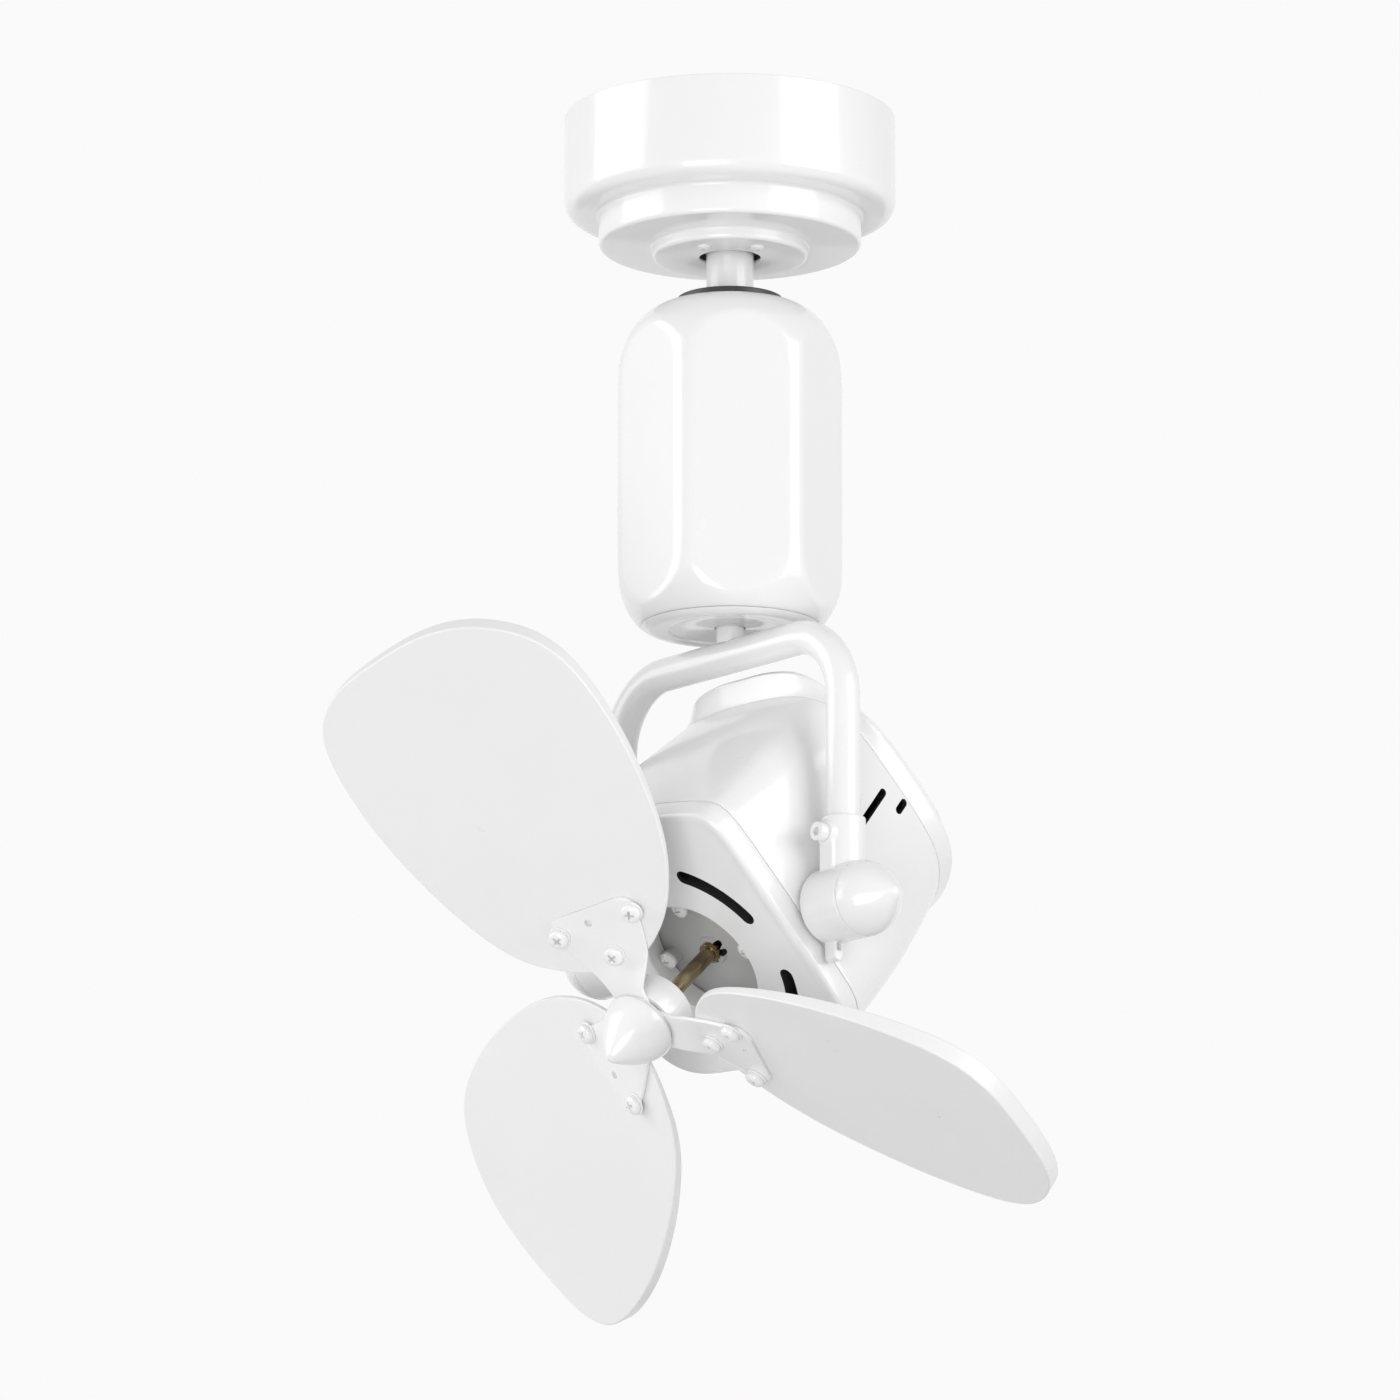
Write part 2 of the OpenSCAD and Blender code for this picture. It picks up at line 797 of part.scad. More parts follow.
// Brush holder on the chassis post beside the slip rings
module brush_block() {
    color(black)
            difference() {
                translate([slip_d / 2 + 0.4, -7, slip_top_z - slip_h + 2])
                    cube([deck_post_r - slip_d / 2 + 6, 14, slip_h - 4]);
                translate([deck_post_r, 0, slip_top_z - slip_h])
                    cylinder(d = deck_post_d + 2 * run_fit, h = slip_h + 2);
            }
}

module swing_pinion() {
    color(brass)
        translate([-gear_centres, 0, 0])
            rotate([0, 0, 180 / pinion_teeth]) {
                translate([0, 0, gear_top_z - gear_h])
                    linear_extrude(gear_h)
                        polygon(gear_points(pinion_teeth, gear_module));
                translate([0, 0, gear_top_z])
                    cylinder(d = motor_shaft_d, h = mid_deck_z - gear_top_z + 5);
            }
}

module swing_shaft() {
    color(white)
        difference() {
            union() {
                translate([0, 0, bar_z + tube_d / 2 - 2])
                    cylinder(d = swing_shaft_d, h = mid_deck_z + bearing_h - deck_t + 3 - bar_z - tube_d / 2 + 2);
                translate([0, 0, mid_deck_z + bearing_h - deck_t + 1 + seat_gap])
                    cylinder(d = swing_shaft_d + 5, h = 3);
            }
            yoke_path(tube_d + 2 * run_fit);
            translate([0, 0, bar_z])
                cylinder(d = 6, h = mid_deck_z - bar_z + bearing_h + 10);
        }
}

module swing_gear() {
    color(brass)
        translate([0, 0, gear_top_z - gear_h])
            difference() {
                rotate([0, 0, 180])
                    linear_extrude(gear_h)
                        polygon(gear_points(gear_teeth, gear_module));
                translate([0, 0, -1])
                    cylinder(d = swing_shaft_d + 0.04, h = gear_h + 2);
            }
}

module slip_rings() {
    color(brass)
        translate([0, 0, slip_top_z - slip_h])
            difference() {
                cylinder(d = slip_d, h = slip_h);
                translate([0, 0, -1])
                    cylinder(d = swing_shaft_d + 0.04, h = slip_h + 2);
                for (z = [3 : 5 : slip_h - 5])
                    translate([0, 0, z])
                        ring(slip_d + 2, slip_d - 2, 2.5);
            }
}

// Bar, bends and legs of the yoke, as a solid of a given diameter
module yoke_path(d) {
    translate([0, 0, bar_z])
        rotate([0, 90, 0])
            cylinder(d = d, h = leg_span - 2 * bend_r, center = true);
    for (m = [0, 1])
        mirror([m, 0, 0]) {
            translate([leg_x - bend_r, 0, bar_z - bend_r])
                rotate([90, 0, 0])
                    rotate_extrude(angle = 90)
                        translate([bend_r, 0])
                            circle(d = d);
            translate([leg_x, 0, tilt_z + leg_end])
                cylinder(d = d, h = yoke_drop - bend_r - leg_end);
        }
}

module yoke_tube() {
    color(white)
        difference() {
            yoke_path(tube_d);
            yoke_path(tube_d - 2 * tube_wall);
            for (m = [0, 1])
                mirror([m, 0, 0])
                    translate([leg_x, 0, tilt_z + leg_end - 1])
                        cylinder(d = tube_d - 2 * tube_wall, h = 4);
            translate([0, 0, bar_z])
                cylinder(d = 6, h = tube_d);
        }
}

// Clamp on the +X side: a socket for the leg over a barrel for the pivot stud
module clamp() {
    color(white)
        translate([0, 0, tilt_z])
            difference() {
                union() {
                    translate([leg_x, 0, 0])
                        cylinder(d = socket_d, h = socket_top);
                    translate([pivot_in_x, 0, 0])
                        rotate([0, 90, 0])
                            cylinder(d = pivot_d, h = pivot_len);
                    translate([leg_x, -socket_d / 2 + 2, clamp_bolt_z])
                        rotate([90, 0, 0])
                            cylinder(d = clamp_head_d + 3, h = clamp_pad);
                    translate([leg_x - 5, -socket_d / 2 - 0.6, 0])
                        cube([10, socket_d / 2, clamp_bolt_z]);
                    translate([pivot_in_x, -lug_t / 2, -pivot_d / 2 - lug_drop])
                        cube([lug_w, lug_t, lug_drop + 6]);
                    translate([pivot_in_x, 0, -pivot_d / 2 - lug_drop])
                        rotate([0, 90, 0])
                            cylinder(d = lug_t - 0.02, h = lug_w - 0.5);
                }
                translate([leg_x, 0, leg_end - seat_gap])
                    cylinder(d = tube_d + 2 * run_fit, h = socket_top);
                translate([pivot_in_x - 1, 0, 0])
                    rotate([0, 90, 0])
                        cylinder(d = stud_d + 2 * run_fit, h = pivot_len + 2);
                translate([leg_x, 0, clamp_bolt_z])
                    rotate([90, 0, 0])
                        cylinder(d = blade_screw_d + 2 * run_fit, h = socket_d);
                translate([pivot_in_x + lug_w - 3, -lug_t / 3, -pivot_d / 2 - lug_drop])
                    cube([4, lug_t * 2 / 3, lug_drop - 0.5]);
            }
}

// Socket head bolt that pinches the leg from the front
module clamp_bolt() {
    front = socket_d / 2 - 2 + clamp_pad;
    color(white)
        translate([leg_x, 0, tilt_z + clamp_bolt_z])
            rotate([90, 0, 0])
                difference() {
                    union() {
                        translate([0, 0, tube_d / 2 + 0.1])
                            cylinder(d = blade_screw_d, h = front - tube_d / 2);
                        translate([0, 0, front])
                            cylinder(d = clamp_head_d, h = 5);
                    }
                    translate([0, 0, front + 2])
                        cylinder(d = 4.6, h = 4, $fn = 6);
                }
}

module left_clamp() {
    mirror([1, 0, 0])
        clamp();
}

module right_clamp() {
    clamp();
}

module left_clamp_bolt() {
    mirror([1, 0, 0])
        clamp_bolt();
}

module right_clamp_bolt() {
    clamp_bolt();
}

module friction_washers() {
    color(black)
        for (m = [0, 1])
            mirror([m, 0, 0])
                translate([boss_x + seat_gap, 0, tilt_z])
                    rotate([0, 90, 0])
                        ring(2 * seam_f - 2, stud_d + 2 * run_fit, washer_t);
}

module knob() {
    color(white)
        translate([pivot_out_x + seat_gap, 0, tilt_z])
            rotate([0, 90, 0])
                difference() {
                    rotate_extrude()
                        polygon(point_outline(pivot_d / 2, knob_len));
                    translate([0, 0, -1])
                        cylinder(d = stud_d + 2 * run_fit, h = 17);
                }
}

module left_knob() {
    mirror([1, 0, 0])
        knob();
}

module right_knob() {
    knob();
}

function front_line(grow) =
    head_points(front_half, 86, 64.4, front_sizes, [head_half_w, head_top, head_bottom], grow);
function mid_line(grow) =
    head_points(mid_half, 84.2, 66, front_sizes, [head_half_w, head_top, head_bottom], grow);
function back_line(grow) =
    head_points(back_half, 79.3, 65.3, rear_sizes, [rear_half_w, rear_top, head_bottom], grow);
function rear_line(grow) =
    head_points(rear_half, 88, 65.5, rear_sizes, [rear_half_w, rear_top, head_bottom], grow);

// Thin slice of the head across the motor axis
module head_slice(line, f) {
    translate([0, 0, f])
        linear_extrude(0.1)
            polygon(line);
}

module cover_bolt_place() {
    for (x = [-1, 1])
        translate([x * (head_half_w - 15), head_top - 14, 0])
            children();
    for (x = [-1, 1])
        translate([x * (head_half_w - 14), -head_bottom + 19, 0])
            children();
}

module side_place() {
    for (m = [0, 1])
        mirror([m, 0, 0])
            rotate([0, 90, 0])
                children();
}

module motor_housing() {
    color(white)
        axis_place()
            difference() {
                union() {
                    difference() {
                        hull() {
                            head_slice(front_line(0), seam_f - 0.1);
                            head_slice(mid_line(0), -mid_f);
                            head_slice(back_line(0), -rear_seam_f);
                        }
                        hull() {
                            head_slice(front_line(-head_wall), seam_f + 0.1);
                            head_slice(mid_line(-head_wall), -mid_f);
                            head_slice(back_line(-head_wall), -rear_seam_f - 0.3);
                        }
                    }
                    side_place()
                        translate([0, 0, stud_in_x])
                            cylinder(r = seam_f - 0.6, h = boss_x - stud_in_x);
                    cover_bolt_place()
                        translate([0, 0, cover_boss_f])
                            cylinder(d = 12, h = seam_f - cover_boss_f);
                    rear_screw_place()
                        cylinder(d = 10, h = 14);
                }
                side_place()
                    translate([0, 0, stud_in_x - 1])
                        cylinder(d = stud_d + 0.04, h = 20);
                cover_bolt_place()
                    translate([0, 0, cover_boss_f - 1])
                        cylinder(d = cover_bolt_d + 2 * run_fit, h = seam_f - cover_boss_f + 2);
                rear_screw_place()
                    translate([0, 0, -1])
                        cylinder(d = 4, h = 13);
                for (s = [0, 1], k = [0, 1])
                    side_vent(s, k);
            }
}

// Two slanting vents in each side of the head, behind the pivots: height, place along the axis, half length
side_vents = [[16.8, -63, 11], [5.6, -79, 2.8]];

module side_vent(side, k) {
    v = side_vents[k];
    mirror([side, 0, 0])
        translate([head_half_w - 20, v[0], v[1]])
            rotate([6, 0, 0])
                rotate([0, 90, 0]) {
                    translate([-v[2], -side_vent_w / 2, 0])
                        cube([2 * v[2], side_vent_w, 30]);
                    for (x = [-v[2], v[2]])
                        translate([x, 0, 0])
                            cylinder(d = side_vent_w + 0.04, h = 30);
                }
}

// Curved vent with round ends, between two angles
module vent(from, to) {
    inner = vent_r - vent_w / 2;
    outer = vent_r + vent_w / 2;
    linear_extrude(20)
        polygon(concat(
            arc(0, 0, outer, from, to, 12),
            arc(vent_r * cos(to), vent_r * sin(to), vent_w / 2, to + 30, to + 150, 4),
            arc(0, 0, inner, to, from, 12),
            arc(vent_r * cos(from), vent_r * sin(from), vent_w / 2, from + 210, from + 330, 4)
        ));
}

module front_cover() {
    color(white)
        axis_place()
            difference() {
                union() {
                    difference() {
                        union() {
                            translate([0, 0, seam_f + seam_gap])
                                linear_extrude(face_f - face_bevel - seam_f - seam_gap)
                                    polygon(front_line(0));
                            hull() {
                                head_slice(front_line(0), face_f - face_bevel - 0.1);
                                head_slice(front_line(-face_bevel), face_f - 0.1);
                            }
                        }
                        translate([0, 0, seam_f - 1])
                            linear_extrude(face_f - plate_f - seam_f + 1)
                                polygon(front_line(-head_wall));
                    }
                    translate([0, 0, motor_front_f + seat_gap])
                        ring(mouth_d + 3.6, mouth_d, face_f - motor_front_f - seat_gap);
                    translate([0, 0, motor_front_f - 6])
                        ring(motor_d + 2 * spigot_t, motor_d + 2 * run_fit, face_f - motor_front_f + 5);
                    cover_bolt_place()
                        translate([0, 0, seam_f + seam_gap])
                            cylinder(d = 11, h = face_f - seam_f - 1);
                }
                translate([0, 0, motor_front_f + 1])
                    cylinder(d = mouth_d, h = 30);
                for (a = [0, 180]) {
                    translate([0, 0, motor_front_f - 1])
                        vent(a + 19, a + 60);
                    translate([0, 0, motor_front_f - 1])
                        vent(a - 60, a - 19);
                }
                cover_bolt_place()
                    translate([0, 0, seam_f - 1])
                        cylinder(d = cover_bolt_d, h = cover_bolt_grip + 1);
            }
}

// Bolts that hold the front cover, put in from inside the housing
module cover_bolts() {
    color(steel)
        axis_place()
            cover_bolt_place()
                translate([0, 0, cover_boss_f])
                    rotate([180, 0, 0])
                        pan_screw(7, 2.4, cover_bolt_d - 2 * run_fit, seam_f - cover_boss_f + cover_bolt_grip);
}

module rear_screw_place() {
    for (x = [-1, 1])
        translate([x * (rear_half_w - 7.5), -12, -rear_seam_f])
            children();
}

module rear_cover() {
    color(white)
        axis_place()
            difference() {
                hull() {
                    head_slice(back_line(0), -rear_seam_f - seam_gap - 0.1);
                    translate([0, 0, -rear_seam_f - flare_depth - 2])
                        linear_extrude(2)
                            polygon(rear_line(0));
                    head_slice(scaled(rear_line(0), 0.85), -rear_seam_f - (flare_depth + rear_depth) * 0.56);
                    head_slice(scaled(rear_line(0), 0.6), -rear_seam_f - rear_depth);
                }
                difference() {
                    hull() {
                        head_slice(back_line(-head_wall), -rear_seam_f);
                        head_slice(rear_line(-head_wall - 1), -rear_seam_f - flare_depth);
                        head_slice(scaled(rear_line(0), 0.55), -rear_seam_f - rear_depth + head_wall);
                    }
                    rear_screw_place()
                        translate([0, 0, -rear_depth])
                            cylinder(d = 9, h = rear_depth - seam_gap);
                }
                rear_screw_place()
                    translate([0, 0, -rear_depth])
                        cylinder(d = 7.5, h = rear_depth - 4);
                rear_screw_place()
                    translate([0, 0, -rear_depth])
                        cylinder(d = 4.1, h = rear_depth + 2);
            }
}

module rear_cover_screws() {
    color(steel)
        axis_place()
            rear_screw_place()
                translate([0, 0, -4])
                    rotate([180, 0, 0])
                        pan_screw(7, 2.2, 4, 14);
}

module pivot_studs() {
    color(steel)
        head_place()
            for (m = [0, 1])
                mirror([m, 0, 0])
                    translate([stud_in_x, 0, 0])
                        rotate([0, 90, 0])
                            cylinder(d = stud_d, h = stud_len);
}

module face_screw_place() {
    for (a = [-5 : 90 : 265])
        rotate([0, 0, a])
            translate([face_screw_r, 0, 0])
                children();
}

module motor_front_bell() {
    color(white)
        axis_place()
            difference() {
                union() {
                    translate([0, 0, motor_front_f - bell_h])
                        cylinder(d = motor_d, h = bell_h);
                    translate([0, 0, motor_front_f - 1])
                        cylinder(d = 15, h = 3);
                    face_screw_place()
                        translate([0, 0, motor_front_f - bell_h])
                            cylinder(d = 9, h = bell_h + 5);
                }
                translate([0, 0, motor_front_f - bell_h - 1])
                    difference() {
                        cylinder(d = motor_d - 2 * bell_t, h = bell_h + 1 - bell_t);
                        cylinder(d = motor_bearing_d + 6, h = bell_h + 1);
                        face_screw_place()
                            cylinder(d = 9, h = bell_h + 1);
                    }
                translate([0, 0, bearing_front_f - motor_bearing_h])
                    cylinder(d = motor_bearing_d, h = motor_bearing_h);
                translate([0, 0, motor_front_f - bell_h - 1])
                    cylinder(d = motor_bearing_d - 2, h = bell_h - motor_bearing_h - 3);
                translate([0, 0, motor_front_f - 10])
                    cylinder(d = shaft_d + 1.6, h = 20);
                for (a = [45 : 90 : 315])
                    rotate([0, 0, a])
                        translate([5.6, 0, bearing_front_f + 0.5])
                            cylinder(d = 5, h = 12);
                face_screw_place()
                    translate([0, 0, motor_front_f - bell_h - 1])
                        cylinder(d = 4.2, h = bell_h + 8);
            }
}

module motor_rear_bell() {
    color(grey)
        axis_place()
            difference() {
                union() {
                    translate([0, 0, motor_back_f])
                        cylinder(d = motor_d, h = bell_h);
                    translate([0, 0, motor_back_f - 4])
                        cylinder(d = motor_bearing_d + 6, h = 5);
                }
                translate([0, 0, motor_back_f + bell_t])
                    difference() {
                        cylinder(d = motor_d - 2 * bell_t, h = bell_h);
                        translate([0, 0, -1])
                            cylinder(d = motor_bearing_d + 6, h = 10);
                        face_screw_place()
                            translate([0, 0, -1])
                                cylinder(d = 9, h = bell_h + 2);
                    }
                translate([0, 0, bearing_back_f])
                    cylinder(d = motor_bearing_d, h = motor_bearing_h + 4);
                translate([0, 0, motor_back_f - 1])
                    cylinder(d = shaft_d + 1.6, h = 10);
                for (a = [22.5 : 45 : 360])
                    rotate([0, 0, a])
                        translate([38, 0, motor_back_f - 1])
                            cylinder(d = 12, h = bell_t + 2);
                face_screw_place()
                    translate([0, 0, motor_back_f + 4])
                        cylinder(d = 4, h = bell_h);
            }
}

stator_h = motor_len - 2 * bell_h;

module motor_stator() {
    color(steel)
        axis_place()
            translate([0, 0, motor_back_f + bell_h])
                difference() {
                    cylinder(d = motor_d, h = stator_h);
                    translate([0, 0, -1])
                        cylinder(r = stator_in_r, h = stator_h + 2);
                    face_screw_place()
                        translate([0, 0, -1])
                            cylinder(d = 4.2, h = stator_h + 2);
                    for (a = [0 : 30 : 330])
                        rotate([0, 0, a + 10])
                            translate([slot_r, 0, -1])
                                cylinder(d = 7, h = stator_h + 2);
                }
}

// Winding heads: a bundle in each slot that joins a ring on both faces of the core
module motor_winding() {
    color(copper)
        axis_place()
            translate([0, 0, motor_back_f + bell_h]) {
                for (a = [0 : 30 : 330])
                    rotate([0, 0, a + 10])
                        translate([slot_r, 0, -4])
                            cylinder(d = 6.6, h = stator_h + 8);
                for (z = [-9, stator_h + 1])
                    translate([0, 0, z])
                        ring(2 * slot_r + 8, 2 * slot_r - 8, 8);
            }
}

module motor_bearings() {
    color(steel)
        axis_place()
            for (z = [bearing_front_f - motor_bearing_h, bearing_back_f])
                translate([0, 0, z])
                    ring(motor_bearing_d - 0.04, shaft_d + 2 * run_fit, motor_bearing_h);
}

module motor_bolts() {
    color(white)
        axis_place()
            face_screw_place()
                translate([0, 0, motor_front_f + 5])
                    pan_screw(pan_d * 0.9, pan_h, 4, motor_len - bell_h / 2);
}

module capacitor() {
    color(black)
        axis_place()
            translate([-20, 18, motor_back_f - 24 - seat_gap])
                cube([40, 24, 24]);
}

module motor_shaft() {
    color(zinc)
        axis_place()
            translate([0, 0, bearing_back_f])
                cylinder(d = shaft_d, h = nose_f + 12 - bearing_back_f);
}

module motor_rotor() {
    color(steel)
        axis_place()
            translate([0, 0, motor_back_f + bell_h])
                ring(2 * (stator_in_r - rotor_gap), shaft_d + 0.04, stator_h);
}

module blade_hub() {
    color(white)
        axis_place()
            difference() {
                translate([0, 0, hub_back_f])
                    cylinder(d = hub_d, h = tab_f - hub_back_f);
                translate([0, 0, hub_back_f - 1])
                    cylinder(d = shaft_d + 0.04, h = tab_f - hub_back_f + 2);
                rotate([0, 0, blade_turn + 60])
                    translate([0, 0, hub_back_f + 4])
                        rotate([0, 90, 0])
                            cylinder(d = 5, h = hub_d);
            }
}

module hub_set_screw() {
    color(steel)
        axis_place()
            rotate([0, 0, blade_turn + 60])
                translate([shaft_d / 2 + 0.05, 0, hub_back_f + 4])
                    rotate([0, 90, 0])
                        difference() {
                            cylinder(d = 4.94, h = 6);
                            translate([0, 0, 3])
                                cylinder(d = 2.6, h = 4, $fn = 6);
                        }
}

// Bracket: a flat tab under the nose cone, a folded neck and a wide plate on the blade
module bracket(i) {
    neck_half_w = 13;
    neck_x = 26;
    corner = 9;
    w = bracket_half_w;
    plate = concat(
        [[neck_x, -neck_half_w]],
        arc(bracket_reach - corner, -w + corner, corner, -75, 0, 5),
        arc(bracket_reach - corner, w - corner, corner, 0, 75, 5),
        [[neck_x, neck_half_w]]
    );
    color(white) {
        blade_place(i)
            difference() {
                translate([0, 0, blade_front])
                    linear_extrude(bracket_t)
                        polygon(plate);
                for (p = screw_spots)
                    translate([p[0], p[1], 0])
                        cylinder(d = blade_screw_d + 2 * run_fit, h = 10);
                translate([pilot_spot[0], pilot_spot[1], 0])
                    cylinder(d = 4, h = 10);
            }
        hull() {
            blade_place(i)
                translate([neck_x + 0.5, 0.1 - neck_half_w, blade_front + 0.06])
                    cube([1, 2 * neck_half_w - 0.2, bracket_t - 0.12]);
            axis_place()
                rotate([0, 0, blade_turn - i * 360 / blade_count])
                    translate([15.3, 2.2 - neck_half_w, tab_f + 0.06])
                        cube([1, 2 * neck_half_w - 4.4, bracket_t - 0.12]);
        }
        axis_place()
            rotate([0, 0, blade_turn - i * 360 / blade_count])
                translate([0, 0, tab_f])
                    difference() {
                        intersection() {
                            cylinder(r = 17, h = bracket_t);
                            rotate([0, 0, -59.5])
                                rotate_extrude(angle = 119)
                                    square([30, bracket_t]);
                            translate([0, -neck_half_w + 2, 0])
                                cube([30, 2 * neck_half_w - 4, bracket_t]);
                        }
                        translate([0, 0, -1])
                            cylinder(d = shaft_d + 1, h = bracket_t + 2);
                    }
    }
}

// Blade: a board that is thin at the root and grows thicker towards the tip
module blade(i) {
    rise = (blade_t - blade_lead_t) / blade_scale;
    rise_x = 0.0053 * rise;
    rise_y = 0.0012 * rise;
    root_t = blade_lead_t - 0.2 * (blade_t - blade_lead_t);
    color(white)
        blade_place(i)
            difference() {
                translate([0, 0, blade_front - blade_t])
                    linear_extrude(blade_t)
                        polygon(scaled(smooth_loop(blade_shape), blade_scale));
                translate([0, 0, blade_front - root_t])
                    rotate([0, atan(rise_x), 0])
                        rotate([-atan(rise_y), 0, 0])
                            translate([-50, -200, -30])
                                cube([sweep_d, 400, 30]);
                for (p = screw_spots)
                    translate([p[0], p[1], -blade_t])
                        cylinder(d = blade_screw_d + 2 * run_fit, h = 2 * blade_t);
            }
}

module blade_bracket_a() {
    bracket(0);
}

module blade_bracket_b() {
    bracket(1);
}

module blade_bracket_c() {
    bracket(2);
}

module blade_a() {
    blade(0);
}

module blade_b() {
    blade(1);
}

module blade_c() {
    blade(2);
}

module blade_washers() {
    color(white)
        for (i = [0 : blade_count - 1])
            blade_place(i)
                for (p = screw_spots)
                    translate([p[0], p[1], bracket_front])
                        ring(pan_d + 1.6, blade_screw_d + 2 * run_fit, washer_h);
}

module blade_screws() {
    color(white)
        for (i = [0 : blade_count - 1])
            blade_place(i)
                for (p = screw_spots)
                    translate([p[0], p[1], bracket_front + washer_h])
                        pan_screw(pan_d, pan_h, blade_screw_d, bracket_t + washer_h + blade_lead_t);
}

module hub_washer() {
    color(white)
        axis_place()
            translate([0, 0, tab_f + bracket_t])
                ring(hub_d, shaft_d + 2 * run_fit, hub_washer_h);
}

module nose_cone() {
    color(white)
        axis_place()
            translate([0, 0, nose_f])
                difference() {
                    rotate_extrude()
                        polygon(point_outline(pivot_d / 2 - 0.5, nose_len));
                    translate([0, 0, -1])
                        cylinder(d = shaft_d + 0.04, h = 14);
                }
}

ceiling_plate();
rod_socket_bolt();
terminal_block();
cover_carrier();
ceiling_cover();
cover_screws();
down_rod();
gear_collar();
gear_housing();
gear_base();
base_screws();
rod_coupler();
coupler_bolt();
gear_chassis();
swing_motor();
swing_motor_screws();
upper_bearing();
lower_bearing();
brush_block();
swing_pinion();
swing_shaft();
swing_gear();
slip_rings();
yoke_tube();
left_clamp();
right_clamp();
left_clamp_bolt();
right_clamp_bolt();
friction_washers();
left_knob();
right_knob();
motor_housing();
front_cover();
rear_cover();
cover_bolts();
pivot_studs();
motor_front_bell();
motor_rear_bell();
motor_stator();
motor_winding();
motor_bearings();
motor_bolts();
capacitor();
rear_cover_screws();
motor_shaft();
motor_rotor();
blade_hub();
hub_set_screw();
blade_bracket_a();
blade_bracket_b();
blade_bracket_c();
blade_a();
blade_b();
blade_c();
blade_washers();
blade_screws();
hub_washer();
nose_cone();
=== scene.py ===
import json
import math

import bmesh
import bpy
import numpy as np
from mathutils import Matrix, Vector


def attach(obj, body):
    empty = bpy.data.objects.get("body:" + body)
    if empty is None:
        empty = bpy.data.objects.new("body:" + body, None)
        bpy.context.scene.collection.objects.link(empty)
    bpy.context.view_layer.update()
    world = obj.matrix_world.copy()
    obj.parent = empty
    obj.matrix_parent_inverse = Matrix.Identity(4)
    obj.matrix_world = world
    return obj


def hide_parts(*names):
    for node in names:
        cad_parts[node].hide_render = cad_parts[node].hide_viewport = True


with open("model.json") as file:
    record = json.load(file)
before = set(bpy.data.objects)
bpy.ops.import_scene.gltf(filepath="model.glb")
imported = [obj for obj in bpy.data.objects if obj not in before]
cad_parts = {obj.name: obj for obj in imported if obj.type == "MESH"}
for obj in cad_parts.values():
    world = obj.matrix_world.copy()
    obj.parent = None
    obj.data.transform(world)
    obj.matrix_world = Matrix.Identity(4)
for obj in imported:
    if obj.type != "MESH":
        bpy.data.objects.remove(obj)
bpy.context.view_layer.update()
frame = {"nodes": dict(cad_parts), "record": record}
nodes = frame["nodes"]
MM = 0.001

# Camera: from far away, below the fan and to its right, in metres
CAM_AZ = math.radians(50.75)
CAM_RISE = math.radians(12.8)
CAM_ASIDE = math.atan(31 / 9700)
CAM_DISTANCE, CAM_Z = 4.737, -1.3783
cam_data = bpy.data.cameras.new("camera")
cam_data.lens = 249.43
cam_data.sensor_width = 36
cam_data.clip_end = 60
cam = bpy.data.objects.new("camera", cam_data)
bpy.context.scene.collection.objects.link(cam)
cam.location = (CAM_DISTANCE * math.sin(CAM_AZ), -CAM_DISTANCE * math.cos(CAM_AZ), CAM_Z)
cam.rotation_euler = (math.pi / 2 + CAM_RISE, 0, CAM_AZ + CAM_ASIDE)
bpy.context.scene.camera = cam

# Places shared with the construction, in millimetres. In the head's own axes X runs to the right,
# Y (called q) up across the motor and Z (called f) forward along its shaft, from the tilt axis.
TILT_Z = -420.0
TILT = math.radians(44)
BLADE_TURN = 86.4
BLADE_F = 66.4
PITCH = Matrix.Rotation(math.radians(19), 4, "X")
HEAD = (Matrix.Translation((0, 0, TILT_Z)) @ Matrix.Rotation(TILT, 4, "X")
        @ Matrix.Rotation(math.pi / 2, 4, "X"))


# The arm's place before the blade's pitch
def arm_matrix(k):
    turn = math.radians(BLADE_TURN - 120 * k)
    return HEAD @ Matrix.Rotation(turn, 4, "Z") @ Matrix.Translation((0, 0, BLADE_F))


def blade_matrix(k):
    return arm_matrix(k) @ PITCH


# Materials: each has a slow change of tone and a fine grain
BUMP_DEPTH = 0.0001


def new_material(name):
    mat = bpy.data.materials.new(name)
    mat.use_nodes = True
    nt = mat.node_tree
    bsdf = nt.nodes["Principled BSDF"]
    return mat, nt, bsdf


def noise(nt, scale, detail=3.0, rough=0.5):
    coord = nt.nodes.new("ShaderNodeTexCoord")
    tex = nt.nodes.new("ShaderNodeTexNoise")
    tex.inputs["Scale"].default_value = scale
    tex.inputs["Detail"].default_value = detail
    tex.inputs["Roughness"].default_value = rough
    nt.links.new(coord.outputs["Object"], tex.inputs["Vector"])
    return tex


def ramp(nt, source, stops):
    node = nt.nodes.new("ShaderNodeValToRGB")
    node.color_ramp.elements[0].position = stops[0][0]
    node.color_ramp.elements[0].color = (*stops[0][1], 1)
    node.color_ramp.elements[1].position = stops[-1][0]
    node.color_ramp.elements[1].color = (*stops[-1][1], 1)
    for pos, col in stops[1:-1]:
        node.color_ramp.elements.new(pos).color = (*col, 1)
    nt.links.new(source, node.inputs["Fac"])
    return node


def bump(nt, bsdf, height, strength):
    node = nt.nodes.new("ShaderNodeBump")
    node.inputs["Strength"].default_value = strength
    node.inputs["Distance"].default_value = BUMP_DEPTH
    nt.links.new(height, node.inputs["Height"])
    nt.links.new(node.outputs["Normal"], bsdf.inputs["Normal"])


